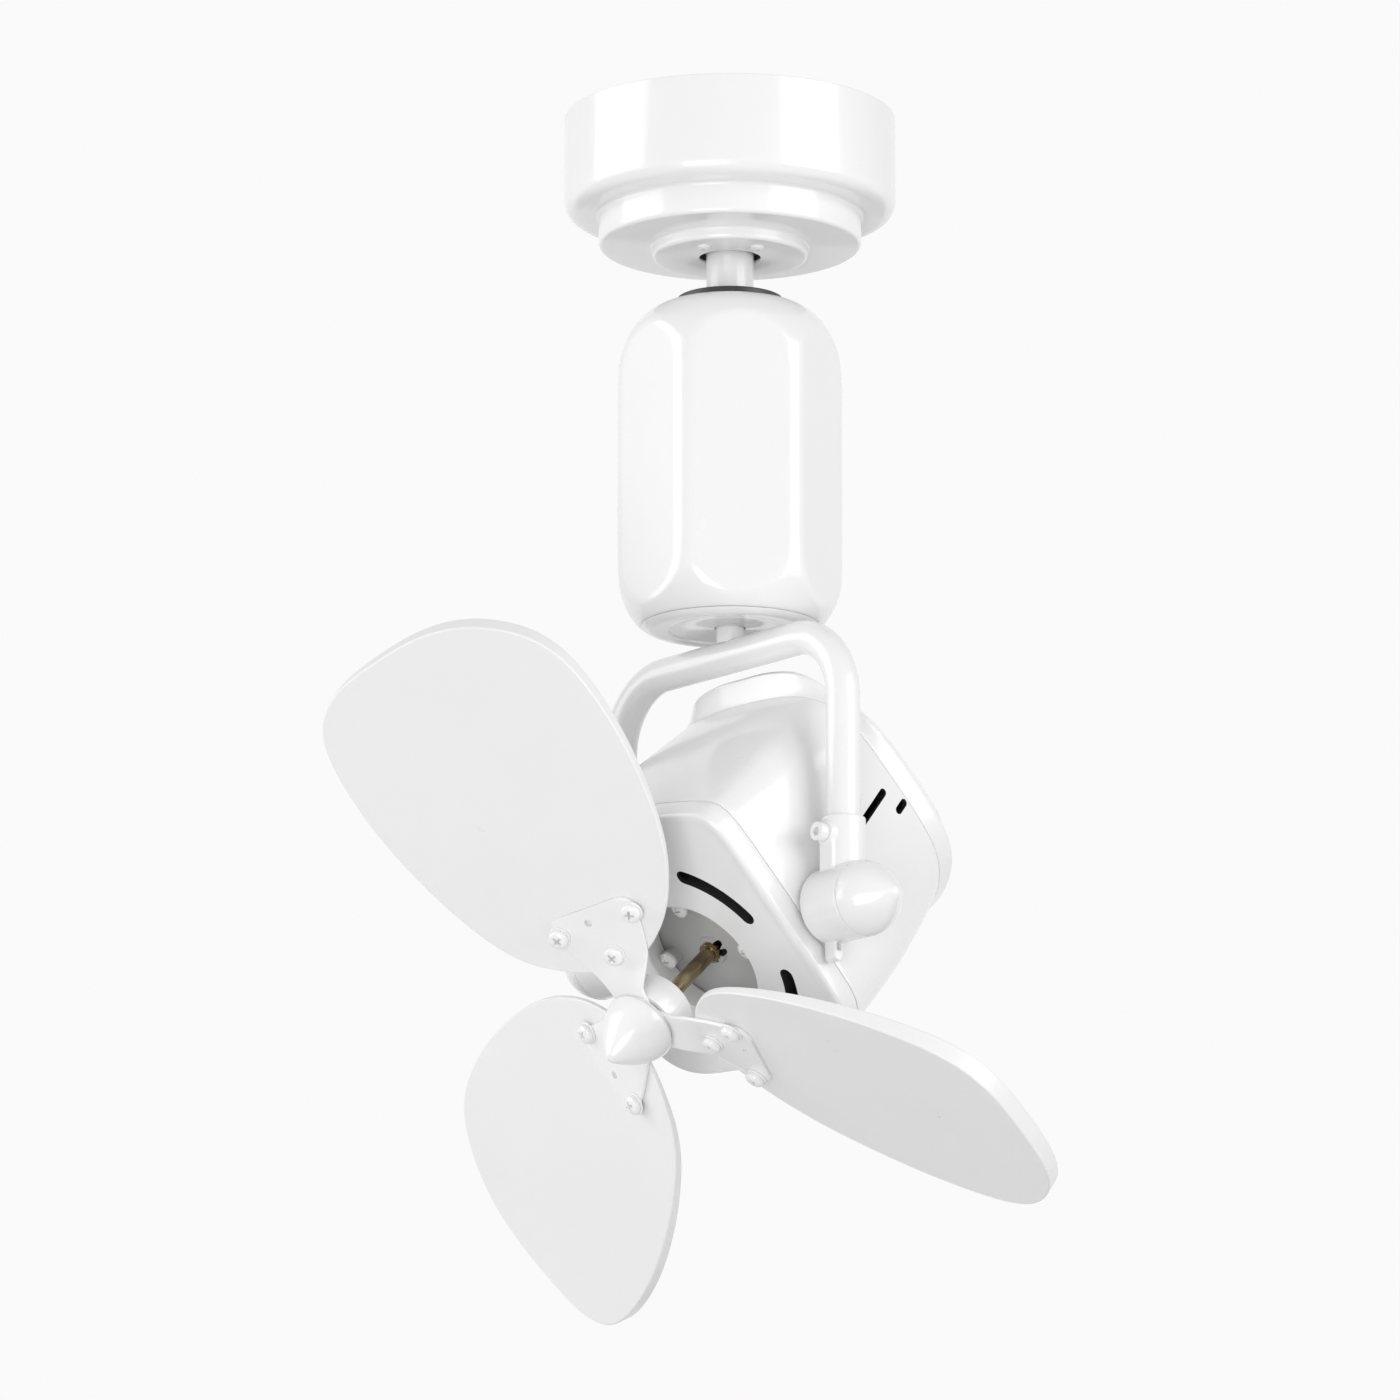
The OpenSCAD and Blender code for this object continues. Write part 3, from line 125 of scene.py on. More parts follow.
# Painted or moulded surfaces: peel is the strength of their orange-peel texture
def enamel(name, color, rough, coat, peel):
    mat, nt, bsdf = new_material(name)
    tone = noise(nt, 9.0, 4.0)
    c = ramp(nt, tone.outputs["Fac"], [(0.3, tuple(v * 0.975 for v in color)), (0.7, color)])
    nt.links.new(c.outputs["Color"], bsdf.inputs["Base Color"])
    gloss = noise(nt, 38.0, 3.0)
    r = ramp(nt, gloss.outputs["Fac"], [(0.25, (rough * 0.8,) * 3), (0.75, (rough * 1.25,) * 3)])
    nt.links.new(r.outputs["Color"], bsdf.inputs["Roughness"])
    bsdf.inputs["Coat Weight"].default_value = coat
    bsdf.inputs["Coat Roughness"].default_value = 0.06
    orange = noise(nt, 620.0, 2.0)
    bump(nt, bsdf, orange.outputs["Fac"], peel)
    return mat


def metal(name, color, rough, fine=900.0, depth=0.15):
    mat, nt, bsdf = new_material(name)
    bsdf.inputs["Metallic"].default_value = 1.0
    tone = noise(nt, 60.0, 5.0, 0.6)
    c = ramp(nt, tone.outputs["Fac"], [(0.3, tuple(v * 0.8 for v in color)), (0.7, color)])
    nt.links.new(c.outputs["Color"], bsdf.inputs["Base Color"])
    grain = noise(nt, fine, 3.0)
    r = ramp(nt, grain.outputs["Fac"], [(0.3, (rough * 0.75,) * 3), (0.7, (rough * 1.3,) * 3)])
    nt.links.new(r.outputs["Color"], bsdf.inputs["Roughness"])
    bump(nt, bsdf, grain.outputs["Fac"], depth)
    return mat


def plastic(name, color, rough, grain=500.0, depth=0.25):
    mat, nt, bsdf = new_material(name)
    tone = noise(nt, 25.0, 3.0)
    c = ramp(nt, tone.outputs["Fac"], [(0.3, tuple(v * 0.9 for v in color)), (0.7, color)])
    nt.links.new(c.outputs["Color"], bsdf.inputs["Base Color"])
    bsdf.inputs["Roughness"].default_value = rough
    tex = noise(nt, grain, 4.0)
    bump(nt, bsdf, tex.outputs["Fac"], depth)
    return mat


MATS = {
    "white_enamel": enamel("white_enamel", (0.86, 0.86, 0.86), 0.22, 0.5, 0.06),
    "blade_plastic": enamel("blade_plastic", (0.84, 0.84, 0.84), 0.34, 0.15, 0.1),
    "black_plastic": plastic("black_plastic", (0.03, 0.03, 0.032), 0.4),
    "gear_brass": metal("gear_brass", (0.72, 0.55, 0.26), 0.3),
    "winding_copper": metal("winding_copper", (0.6, 0.28, 0.12), 0.35, 300.0, 0.6),
    "motor_casting": metal("motor_casting", (0.62, 0.62, 0.62), 0.45, 500.0, 0.4),
    "zinc_steel": metal("zinc_steel", (0.34, 0.27, 0.17), 0.16),
    "bronze": metal("bronze", (0.26, 0.18, 0.09), 0.26),
    "bright_steel": metal("bright_steel", (0.68, 0.68, 0.69), 0.28),
    # Grey of the motor face: white paint darkened as painted shade
    "shaded_casting": enamel("shaded_casting", (0.42, 0.42, 0.42), 0.4, 0.1, 0.1),
    # Near-black painted shade for hollows, cut walls and what is seen through slots, not a real
    # lining
    "painted_shade_inside": plastic("painted_shade_inside", (0.02, 0.02, 0.021), 0.7, 300.0, 0.3),
}
slots = {s["node"]: s["material_slot"] for s in frame["record"]["subparts"]}
for name, obj in nodes.items():
    obj.data.materials.clear()
    obj.data.materials.append(MATS[slots[name]])


# Mesh helpers: shapes are made in millimetres and placed by a matrix in millimetres. A shape that
# is cut away or joined into another one has no material of its own.
def make(name, verts, faces, mat, place=None, body=None, node=None, crease=38):
    mesh = bpy.data.meshes.new(name)
    m = place or Matrix.Identity(4)
    mesh.from_pydata([(m @ Vector(v)) * MM for v in verts], [], faces)
    bm = bmesh.new()
    bm.from_mesh(mesh)
    bmesh.ops.remove_doubles(bm, verts=bm.verts, dist=1e-7)
    bmesh.ops.recalc_face_normals(bm, faces=bm.faces)
    bm.to_mesh(mesh)
    bm.free()
    mesh.shade_smooth()
    mesh.set_sharp_from_angle(angle=math.radians(crease))
    obj = bpy.data.objects.new(name, mesh)
    bpy.context.scene.collection.objects.link(obj)
    if mat:
        mesh.materials.append(MATS[mat])
    if body:
        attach(obj, body)
    if node:
        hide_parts(node)
    return obj


# Rings of points joined into a skin; closed joins the last ring to the first one
def skin(rings, closed=False, cap_start=False, cap_end=False):
    n = len(rings[0])
    verts = [p for r in rings for p in r]
    count = len(rings)
    faces = []
    for i in range(count if closed else count - 1):
        a, b = i * n, ((i + 1) % count) * n
        faces += [(a + k, a + (k + 1) % n, b + (k + 1) % n, b + k) for k in range(n)]
    if cap_start:
        faces.append(tuple(range(n)))
    if cap_end:
        faces.append(tuple((count - 1) * n + k for k in range(n)))
    return verts, faces


def lathe_rings(profile, segments):
    angles = [2 * math.pi * k / segments for k in range(segments)]
    return [[(r * math.cos(a), r * math.sin(a), z) for a in angles] for r, z in profile]


# A profile of radii and heights turned about Z: a closed loop, or a line that starts and ends on
# the axis and is capped there
def lathe(profile, segments):
    capped = profile[0][0] < 1e-6
    body = profile[1:-1] if capped else profile
    return skin(lathe_rings(body, segments), closed=not capped, cap_start=capped, cap_end=capped)


# Rounded corners along a line of points: each entry is (x, y, radius), each corner a short curve
def rounded(points, steps, closed=False):
    out = []
    n = len(points)
    for i, (x, y, r) in enumerate(points):
        if r <= 0 or (not closed and i in (0, n - 1)):
            out.append((x, y))
            continue
        p = Vector((x, y))
        a = Vector(points[i - 1][:2]) - p
        b = Vector(points[(i + 1) % n][:2]) - p
        half = a.angle(b) / 2
        cut = min(r / math.tan(half), a.length * 0.49, b.length * 0.49)
        start = p + a.normalized() * cut
        end = p + b.normalized() * cut
        for k in range(steps + 1):
            t = k / steps
            q = start * (1 - t) ** 2 + p * 2 * t * (1 - t) + end * t * t
            out.append((q.x, q.y))
    return out


def apply_all(obj):
    deps = bpy.context.evaluated_depsgraph_get()
    mesh = bpy.data.meshes.new_from_object(obj.evaluated_get(deps))
    old = obj.data
    obj.modifiers.clear()
    obj.data = mesh
    bpy.data.meshes.remove(old)


def drop(obj):
    mesh = obj.data
    bpy.data.objects.remove(obj)
    bpy.data.meshes.remove(mesh)


# Cuts one piece out of another; a named paint colours the walls of the cut
def boolean(obj, cutter, paint=None):
    if paint:
        cutter.data.materials.append(MATS[paint])
    mod = obj.modifiers.new("cut", "BOOLEAN")
    mod.operation = "DIFFERENCE"
    mod.solver = "EXACT"
    mod.object = cutter
    apply_all(obj)
    drop(cutter)


# Smooth shading with creases at sharp edges; weight evens it over large flat faces
def finish_faces(obj, crease, weight=True):
    obj.data.shade_smooth()
    obj.data.set_sharp_from_angle(angle=math.radians(crease))
    if weight:
        mod = obj.modifiers.new("normals", "WEIGHTED_NORMAL")
        mod.keep_sharp = True
        mod.weight = 80


# One object from several; it takes the first one's materials
def join(name, objs):
    bm = bmesh.new()
    for o in objs:
        bm.from_mesh(o.data)
    mesh = bpy.data.meshes.new(name)
    bm.to_mesh(mesh)
    bm.free()
    for m in objs[0].data.materials:
        mesh.materials.append(m)
    out = bpy.data.objects.new(name, mesh)
    bpy.context.scene.collection.objects.link(out)
    for o in objs:
        drop(o)
    return out


# Gives a finished object its body and hides the node that it stands for
def put(obj, body, node):
    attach(obj, body)
    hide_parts(node)


# Ceiling cover: a thin shell of three turned steps with soft painted edges
def ceiling_cover():
    wall, hole = 1.6, 15.5
    r1, r2, r3 = 84, 66.5, 39.5
    z1, z2, z3 = -51, -67, -73
    outside = [(r1, 0, 0.6), (r1, z1, 9), (r2, z1, 2.2), (r2, z2, 2.5), (r3, z2, 1.6),
               (r3, z3, 2.5), (hole, z3, 0.7)]
    inside = [(hole, z3 + wall, 0.5), (r3 - wall, z3 + wall, 1), (r3 - wall, z2 + wall, 1),
              (r2 - wall, z2 + wall, 1), (r2 - wall, z1 + wall, 1), (r1 - wall, z1 + wall, 6),
              (r1 - wall, 0, 0.6)]
    line = rounded(outside + inside, 6, closed=True)
    make("ceiling_cover_skin", *lathe(line, 192), "white_enamel", body="ceiling_part",
         node="ceiling_cover")


ceiling_cover()


# Gear housing: a hexagon prism whose ends are turned down, and the base that closes it
BARREL_TOP, BARREL_END = -98.6, -266.6
BARREL_TURN = math.radians(-2.8)
REACH, CORNER = 56.8, 12.0
TOP_CURVE, TOP_R = 42.0, 29.0
FOOT_CURVE, FOOT_R = 36.0, 38.0
BARREL_N = 240


def hexagon_radius(a):
    step = math.pi / 3
    b = abs((a + step / 2) % step - step / 2)
    centre = REACH - CORNER
    apothem = centre * math.cos(math.pi / 6) + CORNER
    flat = apothem / math.cos(math.pi / 6 - b)
    d = centre * math.sin(b)
    round_r = centre * math.cos(b) + math.sqrt(max(CORNER ** 2 - d * d, 0))
    limit = math.atan2(CORNER * 0.5, centre + CORNER * math.cos(math.pi / 6))
    return round_r if b < limit else flat


def turned_radius(z):
    top = (BARREL_TOP - z) / TOP_CURVE
    foot = (z - BARREL_END) / FOOT_CURVE
    r = math.inf
    for t, end in ((top, TOP_R), (foot, FOOT_R)):
        if t < 1:
            s = math.sqrt(max(1 - (1 - max(t, 0)) ** 2, 0))
            r = min(r, end + (REACH + 0.5 - end) * s)
    return r


# The smaller of two values, blended over a width of k where they are close
def soft_min(a, b, k):
    h = max(k - abs(a - b), 0) / k
    return min(a, b) - h * h * k / 4


def barrel_ring(z, inset=0.0):
    ring = []
    for i in range(BARREL_N):
        a = 2 * math.pi * i / BARREL_N
        r = soft_min(hexagon_radius(a), turned_radius(z), 1.3) - inset
        b = a + BARREL_TURN
        ring.append((r * math.cos(b), r * math.sin(b), z))
    return ring


def barrel_circle(r, z):
    turns = [2 * math.pi * i / BARREL_N + BARREL_TURN for i in range(BARREL_N)]
    return [(r * math.cos(b), r * math.sin(b), z) for b in turns]


# Heights down the housing, closer together towards its two ends
def barrel_heights():
    curve = [1 - math.cos(math.radians(90 * i / 44)) for i in range(45)]
    top = [BARREL_TOP - TOP_CURVE * c for c in curve]
    side = [BARREL_TOP - TOP_CURVE - 4.5 * i for i in range(1, 20)]
    foot = [BARREL_END + FOOT_CURVE * c for c in reversed(curve)]
    return top + side + foot


def barrel():
    hole, wall = 12.1, 2.4
    split = BARREL_END + 2.6
    lip = split - 0.2
    zs = barrel_heights()
    rings = [barrel_circle(hole, BARREL_TOP)] + [barrel_ring(z) for z in zs if z > split + 0.8]
    rings += [barrel_ring(split + 0.5), barrel_ring(split + 0.15, 0.25), barrel_ring(split, 0.7),
              barrel_ring(split, wall), barrel_ring(split + 30, wall),
              barrel_ring(BARREL_TOP - 30, wall), barrel_ring(BARREL_TOP - 8, wall + 1),
              barrel_circle(hole, BARREL_TOP - wall)]
    make("gear_housing_skin", *skin(rings, closed=True), "white_enamel", body="ceiling_part",
         node="gear_housing", crease=50)
    floor_z = BARREL_END + 8.8
    rings = [barrel_circle(7.9, floor_z), barrel_circle(40, floor_z), barrel_circle(40, lip)]
    rings += [barrel_ring(lip, 0.7), barrel_ring(lip - 0.15, 0.25), barrel_ring(lip - 0.45)]
    rings += [barrel_ring(z) for z in zs if z < lip - 0.5]
    recess = ((37, 0), (31.5, 0), (31.1, 0.15), (31, 0.5), (31, 1), (8.4, 1), (8, 1.4), (8, 5))
    rings += [barrel_circle(r, BARREL_END + h) for r, h in recess]
    make("gear_base_skin", *skin(rings, closed=True), "white_enamel", body="ceiling_part",
         node="gear_base", crease=50)


barrel()


# Black collar on top of the gear housing
def gear_collar():
    hole, r, top, foot = 12.1, 27, -94.4, -98.55
    ring = rounded([(hole, top, 0.5), (r, top, 0.9), (r, foot, 0.4), (hole, foot, 0.3)], 5,
                   closed=True)
    make("gear_collar_ring", *lathe(ring, 128), "black_plastic", body="ceiling_part",
         node="gear_collar")


gear_collar()


# Yoke: one bent tube, from the left leg's end over the bar to the right leg's end
BAR_Z = -280.0
LEG_X, BEND, TUBE = 88.0, 36.0, 8.5


def yoke():
    leg_end, bend_z = TILT_Z + 21.5, BAR_Z - BEND
    half = [((-LEG_X, 0, leg_end + (bend_z - leg_end) * i / 8), (0, 0, 1)) for i in range(9)]
    for i in range(1, 25):
        a = math.radians(90 * i / 24)
        half.append(((-LEG_X + BEND - BEND * math.cos(a), 0, bend_z + BEND * math.sin(a)),
                     (math.sin(a), 0, math.cos(a))))
    bar = [((-LEG_X + BEND + 2 * (LEG_X - BEND) * i / 12, 0, BAR_Z), (1, 0, 0))
           for i in range(1, 12)]
    other = [((-p[0], p[1], p[2]), (d[0], 0, -d[2])) for p, d in reversed(half)]
    side = Vector((0, 1, 0))
    turns = [2 * math.pi * k / 56 for k in range(56)]
    rings = []
    for p, d in half + bar + other:
        up = Vector(d).cross(side)
        rings.append([tuple(Vector(p) + TUBE * (math.cos(b) * side + math.sin(b) * up))
                      for b in turns])
    make("yoke_skin", *skin(rings, cap_start=True, cap_end=True), "white_enamel",
         body="swing_frame", node="yoke_tube")


yoke()


# Clamps: cast sockets over pivot barrels with a grooved stop lug, built from rods and blocks and
# grown together by a voxel remesh
def tube_part(name, r, a, b, segments=64, edge=0.8):
    a, b = Vector(a), Vector(b)
    d = b - a
    line = rounded([(0, 0, 0), (r, 0, edge), (r, d.length, edge), (0, d.length, 0)], 4)
    place = Matrix.Translation(a) @ d.to_track_quat("Z", "Y").to_matrix().to_4x4()
    return make(name, *lathe(line, segments), None, place=place)


def box_part(name, low, high):
    x0, y0, z0 = low
    x1, y1, z1 = high
    v = [(x, y, z) for z in (z0, z1) for y in (y0, y1) for x in (x0, x1)]
    f = [(0, 2, 3, 1), (4, 5, 7, 6), (0, 1, 5, 4), (2, 6, 7, 3), (0, 4, 6, 2), (1, 3, 7, 5)]
    return make(name, v, f, None)


PIVOT_IN, PIVOT_LEN, PIVOT_R = 76.5, 27.0, 19.0
CLAMP_BOLT_Z = 34.0
LUG_R, LUG_OUT, LUG_FOOT, LUG_ROOT = 2.8, 8.3, 25.5, 13.0
VOXEL = 0.45


def clamp(side, name, node):
    z, bolt_z = TILT_Z, TILT_Z + CLAMP_BOLT_Z
    low, high, out = z - LUG_FOOT, z - LUG_ROOT, PIVOT_IN + LUG_OUT
    parts = [
        tube_part("socket", 11, (LEG_X, 0, z), (LEG_X, 0, z + 43)),
        tube_part("pivot", PIVOT_R, (PIVOT_IN, 0, z), (PIVOT_IN + PIVOT_LEN, 0, z), 96, 0.7),
        tube_part("bolt_pad", 6.2, (LEG_X, -7, bolt_z), (LEG_X, -12.6, bolt_z), 48, 0.6),
        box_part("rib", (LEG_X - 5, -11.6, z), (LEG_X + 5, 0, bolt_z)),
        box_part("lug", (PIVOT_IN, -LUG_R, low), (PIVOT_IN + 5.3, LUG_R, high)),
        box_part("lug_front_edge", (PIVOT_IN + 5, -LUG_R, low), (out, -1.6, high)),
        box_part("lug_back_edge", (PIVOT_IN + 5, 1.6, low), (out, LUG_R, high)),
        tube_part("lug_end", LUG_R, (PIVOT_IN, 0, low), (out, 0, low), 48, 0.5),
    ]
    obj = join(name, parts)
    mod = obj.modifiers.new("grow", "REMESH")
    mod.mode = "VOXEL"
    mod.voxel_size = VOXEL * MM
    smooth = obj.modifiers.new("soft", "SMOOTH")
    smooth.factor = 0.5
    smooth.iterations = 7
    apply_all(obj)
    mod = obj.modifiers.new("thin", "DECIMATE")
    mod.ratio = 0.35
    apply_all(obj)
    if side < 0:
        for v in obj.data.vertices:
            v.co.x = -v.co.x
        obj.data.flip_normals()
    obj.data.shade_smooth()
    obj.data.materials.append(MATS["white_enamel"])
    put(obj, "swing_frame", node)


clamp(1, "right_clamp_casting", "right_clamp")
clamp(-1, "left_clamp_casting", "left_clamp")


# Pointed knobs and nose cone: a turned side that meets a small dome at the tip without a kink
TIP_R = 4.6


def point_profile(r, length, lip=0.9):
    out = [(0, 0), (r - lip, 0), (r - 0.3, 0.25), (r, lip)]
    virtual = length * 1.1
    step = 0.01

    def side(z):
        return r * (1 - (z / virtual) ** 1.7)

    # Centre, radius and slope of the ball that touches the side at height z
    def dome(z):
        slope = (side(z + step) - side(z)) / step
        return z + side(z) * slope, side(z) * math.sqrt(1 + slope * slope), slope
    z = 0.0
    while dome(z)[0] + dome(z)[1] > length - lip and z < virtual:
        z += step
    stop = z
    for k in range(1000):
        z = stop + (virtual - stop) * k / 1000
        if dome(z)[1] < TIP_R:
            break
    centre, ball, slope = dome(z)
    stretch = (length - lip) / (centre + ball)
    for i in range(1, 40):
        out.append((side(z * i / 40), lip + z * stretch * i / 40))
    start = math.atan2(-slope, 1)
    for k in range(11):
        a = start + (math.pi / 2 - start) * k / 11
        out.append((ball * math.cos(a), lip + (centre + ball * math.sin(a)) * stretch))
    out.append((0, length))
    return out


KNOB_LEN, KNOB_GAP = 25.0, 0.2


def knobs():
    inner = PIVOT_IN + PIVOT_LEN + KNOB_GAP
    for side, body, node in ((1, "right_turn_knob", "right_knob"),
                             (-1, "left_turn_knob", "left_knob")):
        place = (Matrix.Translation((side * inner, 0, TILT_Z))
                 @ Matrix.Rotation(side * math.pi / 2, 4, "Y"))
        make(node + "_turned", *lathe(point_profile(PIVOT_R, KNOB_LEN), 128), "white_enamel",
             place=place, body=body, node=node, crease=60)


knobs()


# A smooth closed line through the points
def spline_loop(pts, steps):
    n = len(pts)
    out = []
    for i in range(n):
        a, b, c, d = (np.array(pts[(i + k - 1) % n], float) for k in range(4))
        for k in range(steps):
            t = k / steps
            out.append(tuple(0.5 * (2 * b + (c - a) * t + (2 * a - 5 * b + 4 * c - d) * t * t
                                    + (3 * b - a - 3 * c + d) * t ** 3)))
    return out


# Motor head: outlines across the shaft, given by their right half, turned into radii at even
# angles about a middle a little above the shaft
HEAD_CY = 6.0
HEAD_N = 216
ANGLES = np.arange(HEAD_N) * 2 * math.pi / HEAD_N


def outline(half, top, bottom):
    loop = [(0, top)] + half + [(0, -bottom)] + [(-x, y) for x, y in reversed(half)]
    points = spline_loop(loop, 24)
    ang = np.array([math.atan2(y - HEAD_CY, x) % (2 * math.pi) for x, y in points])
    rad = np.array([math.hypot(x, y - HEAD_CY) for x, y in points])
    order = np.argsort(ang)
    return np.interp(ANGLES, ang[order], rad[order], period=2 * math.pi)


FRONT = outline([(30, 84.8), (62, 79.8), (71, 73), (73.8, 62), (74.7, 40), (75, 10), (75, -20),
                 (73.5, -42), (66, -54.5), (52, -61.5), (28, -64)], 86, 64.4)
MIDDLE = outline([(30, 83), (58, 77.5), (68, 69), (72, 55), (73, 30), (73, 0), (71.5, -25),
                  (66.5, -43), (55.5, -56), (36, -64)], 84.2, 66)
BACK = outline([(30, 77.8), (50, 73), (62, 63.5), (67.5, 47), (69, 20), (68.5, -10),
                (64, -28.5), (54, -42.5), (39, -53.5), (21, -62)], 79.3, 65.3)
REAR = outline([(22, 87.4), (41, 82.5), (55, 68), (65.5, 50), (69.5, 20), (69.3, -10.5),
                (64.5, -29), (54, -43), (39, -54), (21, -62)], 88, 65.5)

# Places along the shaft: front seam, the middle outline, rear seam; and the shell's wall
SEAM_F, MIDDLE_F, REAR_SEAM_F = 15.0, -30.0, -85.0
HEAD_WALL = 2.5


def head_ring(radii, f, grow=0.0):
    return [((r + grow) * math.cos(a), (r + grow) * math.sin(a) + HEAD_CY, f)
            for r, a in zip(radii, ANGLES)]


def circle_ring(r, f):
    return [(r * math.cos(a), r * math.sin(a), f) for a in ANGLES]


def blend_ring(radii, grow, r, f, t):
    return [tuple(p * (1 - t) + q * t for p, q in zip(a, b))
            for a, b in zip(head_ring(radii, f, grow), circle_ring(r, f))]


# The housing's outline at f: a smooth curve through the front, middle and back outlines
def side_radii(f):
    f0, f1, f2 = SEAM_F, MIDDLE_F, REAR_SEAM_F
    w0 = (f - f1) * (f - f2) / ((f0 - f1) * (f0 - f2))
    w1 = (f - f0) * (f - f2) / ((f1 - f0) * (f1 - f2))
    w2 = (f - f0) * (f - f1) / ((f2 - f0) * (f2 - f1))
    return w0 * FRONT + w1 * MIDDLE + w2 * BACK


# A flat outline pushed from one height to another
def prism(line, low, high):
    rings = [[(x, y, z) for x, y in line] for z in (low, high)]
    return skin(rings, cap_start=True, cap_end=True)


def capsule(half, r, depth):
    line = []
    for end, start in ((half, -90), (-half, 90)):
        turns = [math.radians(start + 180 * k / 8) for k in range(9)]
        line += [(end + r * math.cos(a), r * math.sin(a)) for a in turns]
    return prism(line, 0, depth)


# Paints a shell's inner side with painted shade, dark faces standing in for the shade inside it:
# the bands of faces from first up to end
def shade_inside(obj, first, end):
    obj.data.materials.append(MATS["painted_shade_inside"])
    for poly in obj.data.polygons:
        poly.material_index = int(first * HEAD_N <= poly.index < end * HEAD_N)


# Height, place along the shaft and half length of the slanting vents on each side
SIDE_VENTS = ((16.8, -63, 11), (5.6, -79, 2.8))
VENT_R, VENT_IN, VENT_DEPTH, VENT_SLANT = 2.1, 55, 30, math.radians(6)
BOSS_IN, BOSS_OUT, BOSS_R = 60, 75.4, 14.4


# Motor housing: the shell between both covers, with a round boss on each side for the pivot
def motor_housing():
    front, rear = SEAM_F, REAR_SEAM_F
    back = side_radii(rear)
    rings = [head_ring(side_radii(front - 0.6), front, -0.6),
             head_ring(side_radii(front - 0.2), front - 0.15, -0.2)]
    along = [front - 0.8 - 2.45 * i for i in range(41)]
    rings += [head_ring(side_radii(f), f) for f in along if f > rear + 0.4]
    rings += [head_ring(side_radii(rear + 0.3), rear + 0.3), head_ring(back, rear + 0.05, -0.15),
              head_ring(back, rear, -0.5), head_ring(back, rear, -HEAD_WALL)]
    outer = len(rings)
    rings += [head_ring(side_radii(f), f, -HEAD_WALL) for f in (-55, MIDDLE_F, -5, front)]
    obj = make("motor_housing_skin", *skin(rings, closed=True), "white_enamel", place=HEAD)
    # The shell's inner side is dark painted shade
    shade_inside(obj, outer - 1, len(rings) - 1)
    across = Matrix.Rotation(VENT_SLANT, 4, "X") @ Matrix.Rotation(math.pi / 2, 4, "Y")
    for side in (1, -1):
        for q, f, half in SIDE_VENTS:
            place = (HEAD @ Matrix.Scale(side, 4, (1, 0, 0)) @ Matrix.Translation((VENT_IN, q, f))
                     @ across)
            vent = make("vent", *capsule(half, VENT_R, VENT_DEPTH), None, place=place)
            # The vents' walls are dark painted shade
            boolean(obj, vent, "painted_shade_inside")
    bosses = []
    line = rounded([(0, BOSS_IN, 0), (BOSS_R, BOSS_IN, 0), (BOSS_R, BOSS_OUT, 0.6),
                    (0, BOSS_OUT, 0)], 4)
    for side in (1, -1):
        place = HEAD @ Matrix.Rotation(side * math.pi / 2, 4, "Y")
        bosses.append(make("boss", *lathe(line, 72), None, place=place))
    obj = join("motor_housing_shell", [obj] + bosses)
    put(obj, "tilting_head", "motor_housing")
    finish_faces(obj, 40, weight=False)


motor_housing()


# A curved slot with round ends, between two angles on a circle
def arc_slot(mid, width, a0, a1, low, high):
    half = width / 2

    def arc(cx, cy, r, turns):
        return [(cx + r * math.cos(a), cy + r * math.sin(a)) for a in turns]

    def end(a, first):
        turns = a + np.linspace(first, first + math.pi, 8)[1:-1]
        return arc(mid * math.cos(a), mid * math.sin(a), half, turns)
    line = arc(0, 0, mid + half, np.linspace(a0, a1, 24)) + end(a1, 0)
    line += arc(0, 0, mid - half, np.linspace(a1, a0, 24)) + end(a0, math.pi)
    return prism(line, low, high)


# Front cover: a shallow dish with a rounded edge, a round mouth and four curved vents
COVER_BACK_F, COVER_EDGE_F, COVER_FACE_F, COVER_TOP_F = 15.3, 20, 26.9, 27.2
COVER_INNER_F, COVER_FITTING_F = 24.4, 24.5
EDGE_F, EDGE_IN, FLAT_IN = 3.0, 2.6, 6
MOUTH_R, MOUTH_OUT_R, MOUTH_LIP_F = 33.7, 35.4, 15.6
FACE_VENT_R, FACE_VENT_W = 55.2, 7.8
FACE_VENTS = ((19, 60), (-60, -19))
BUSH_R = 5.5
BUSH_SPOTS = ((60, 72), (-60, 72), (61, -47), (-61, -47))


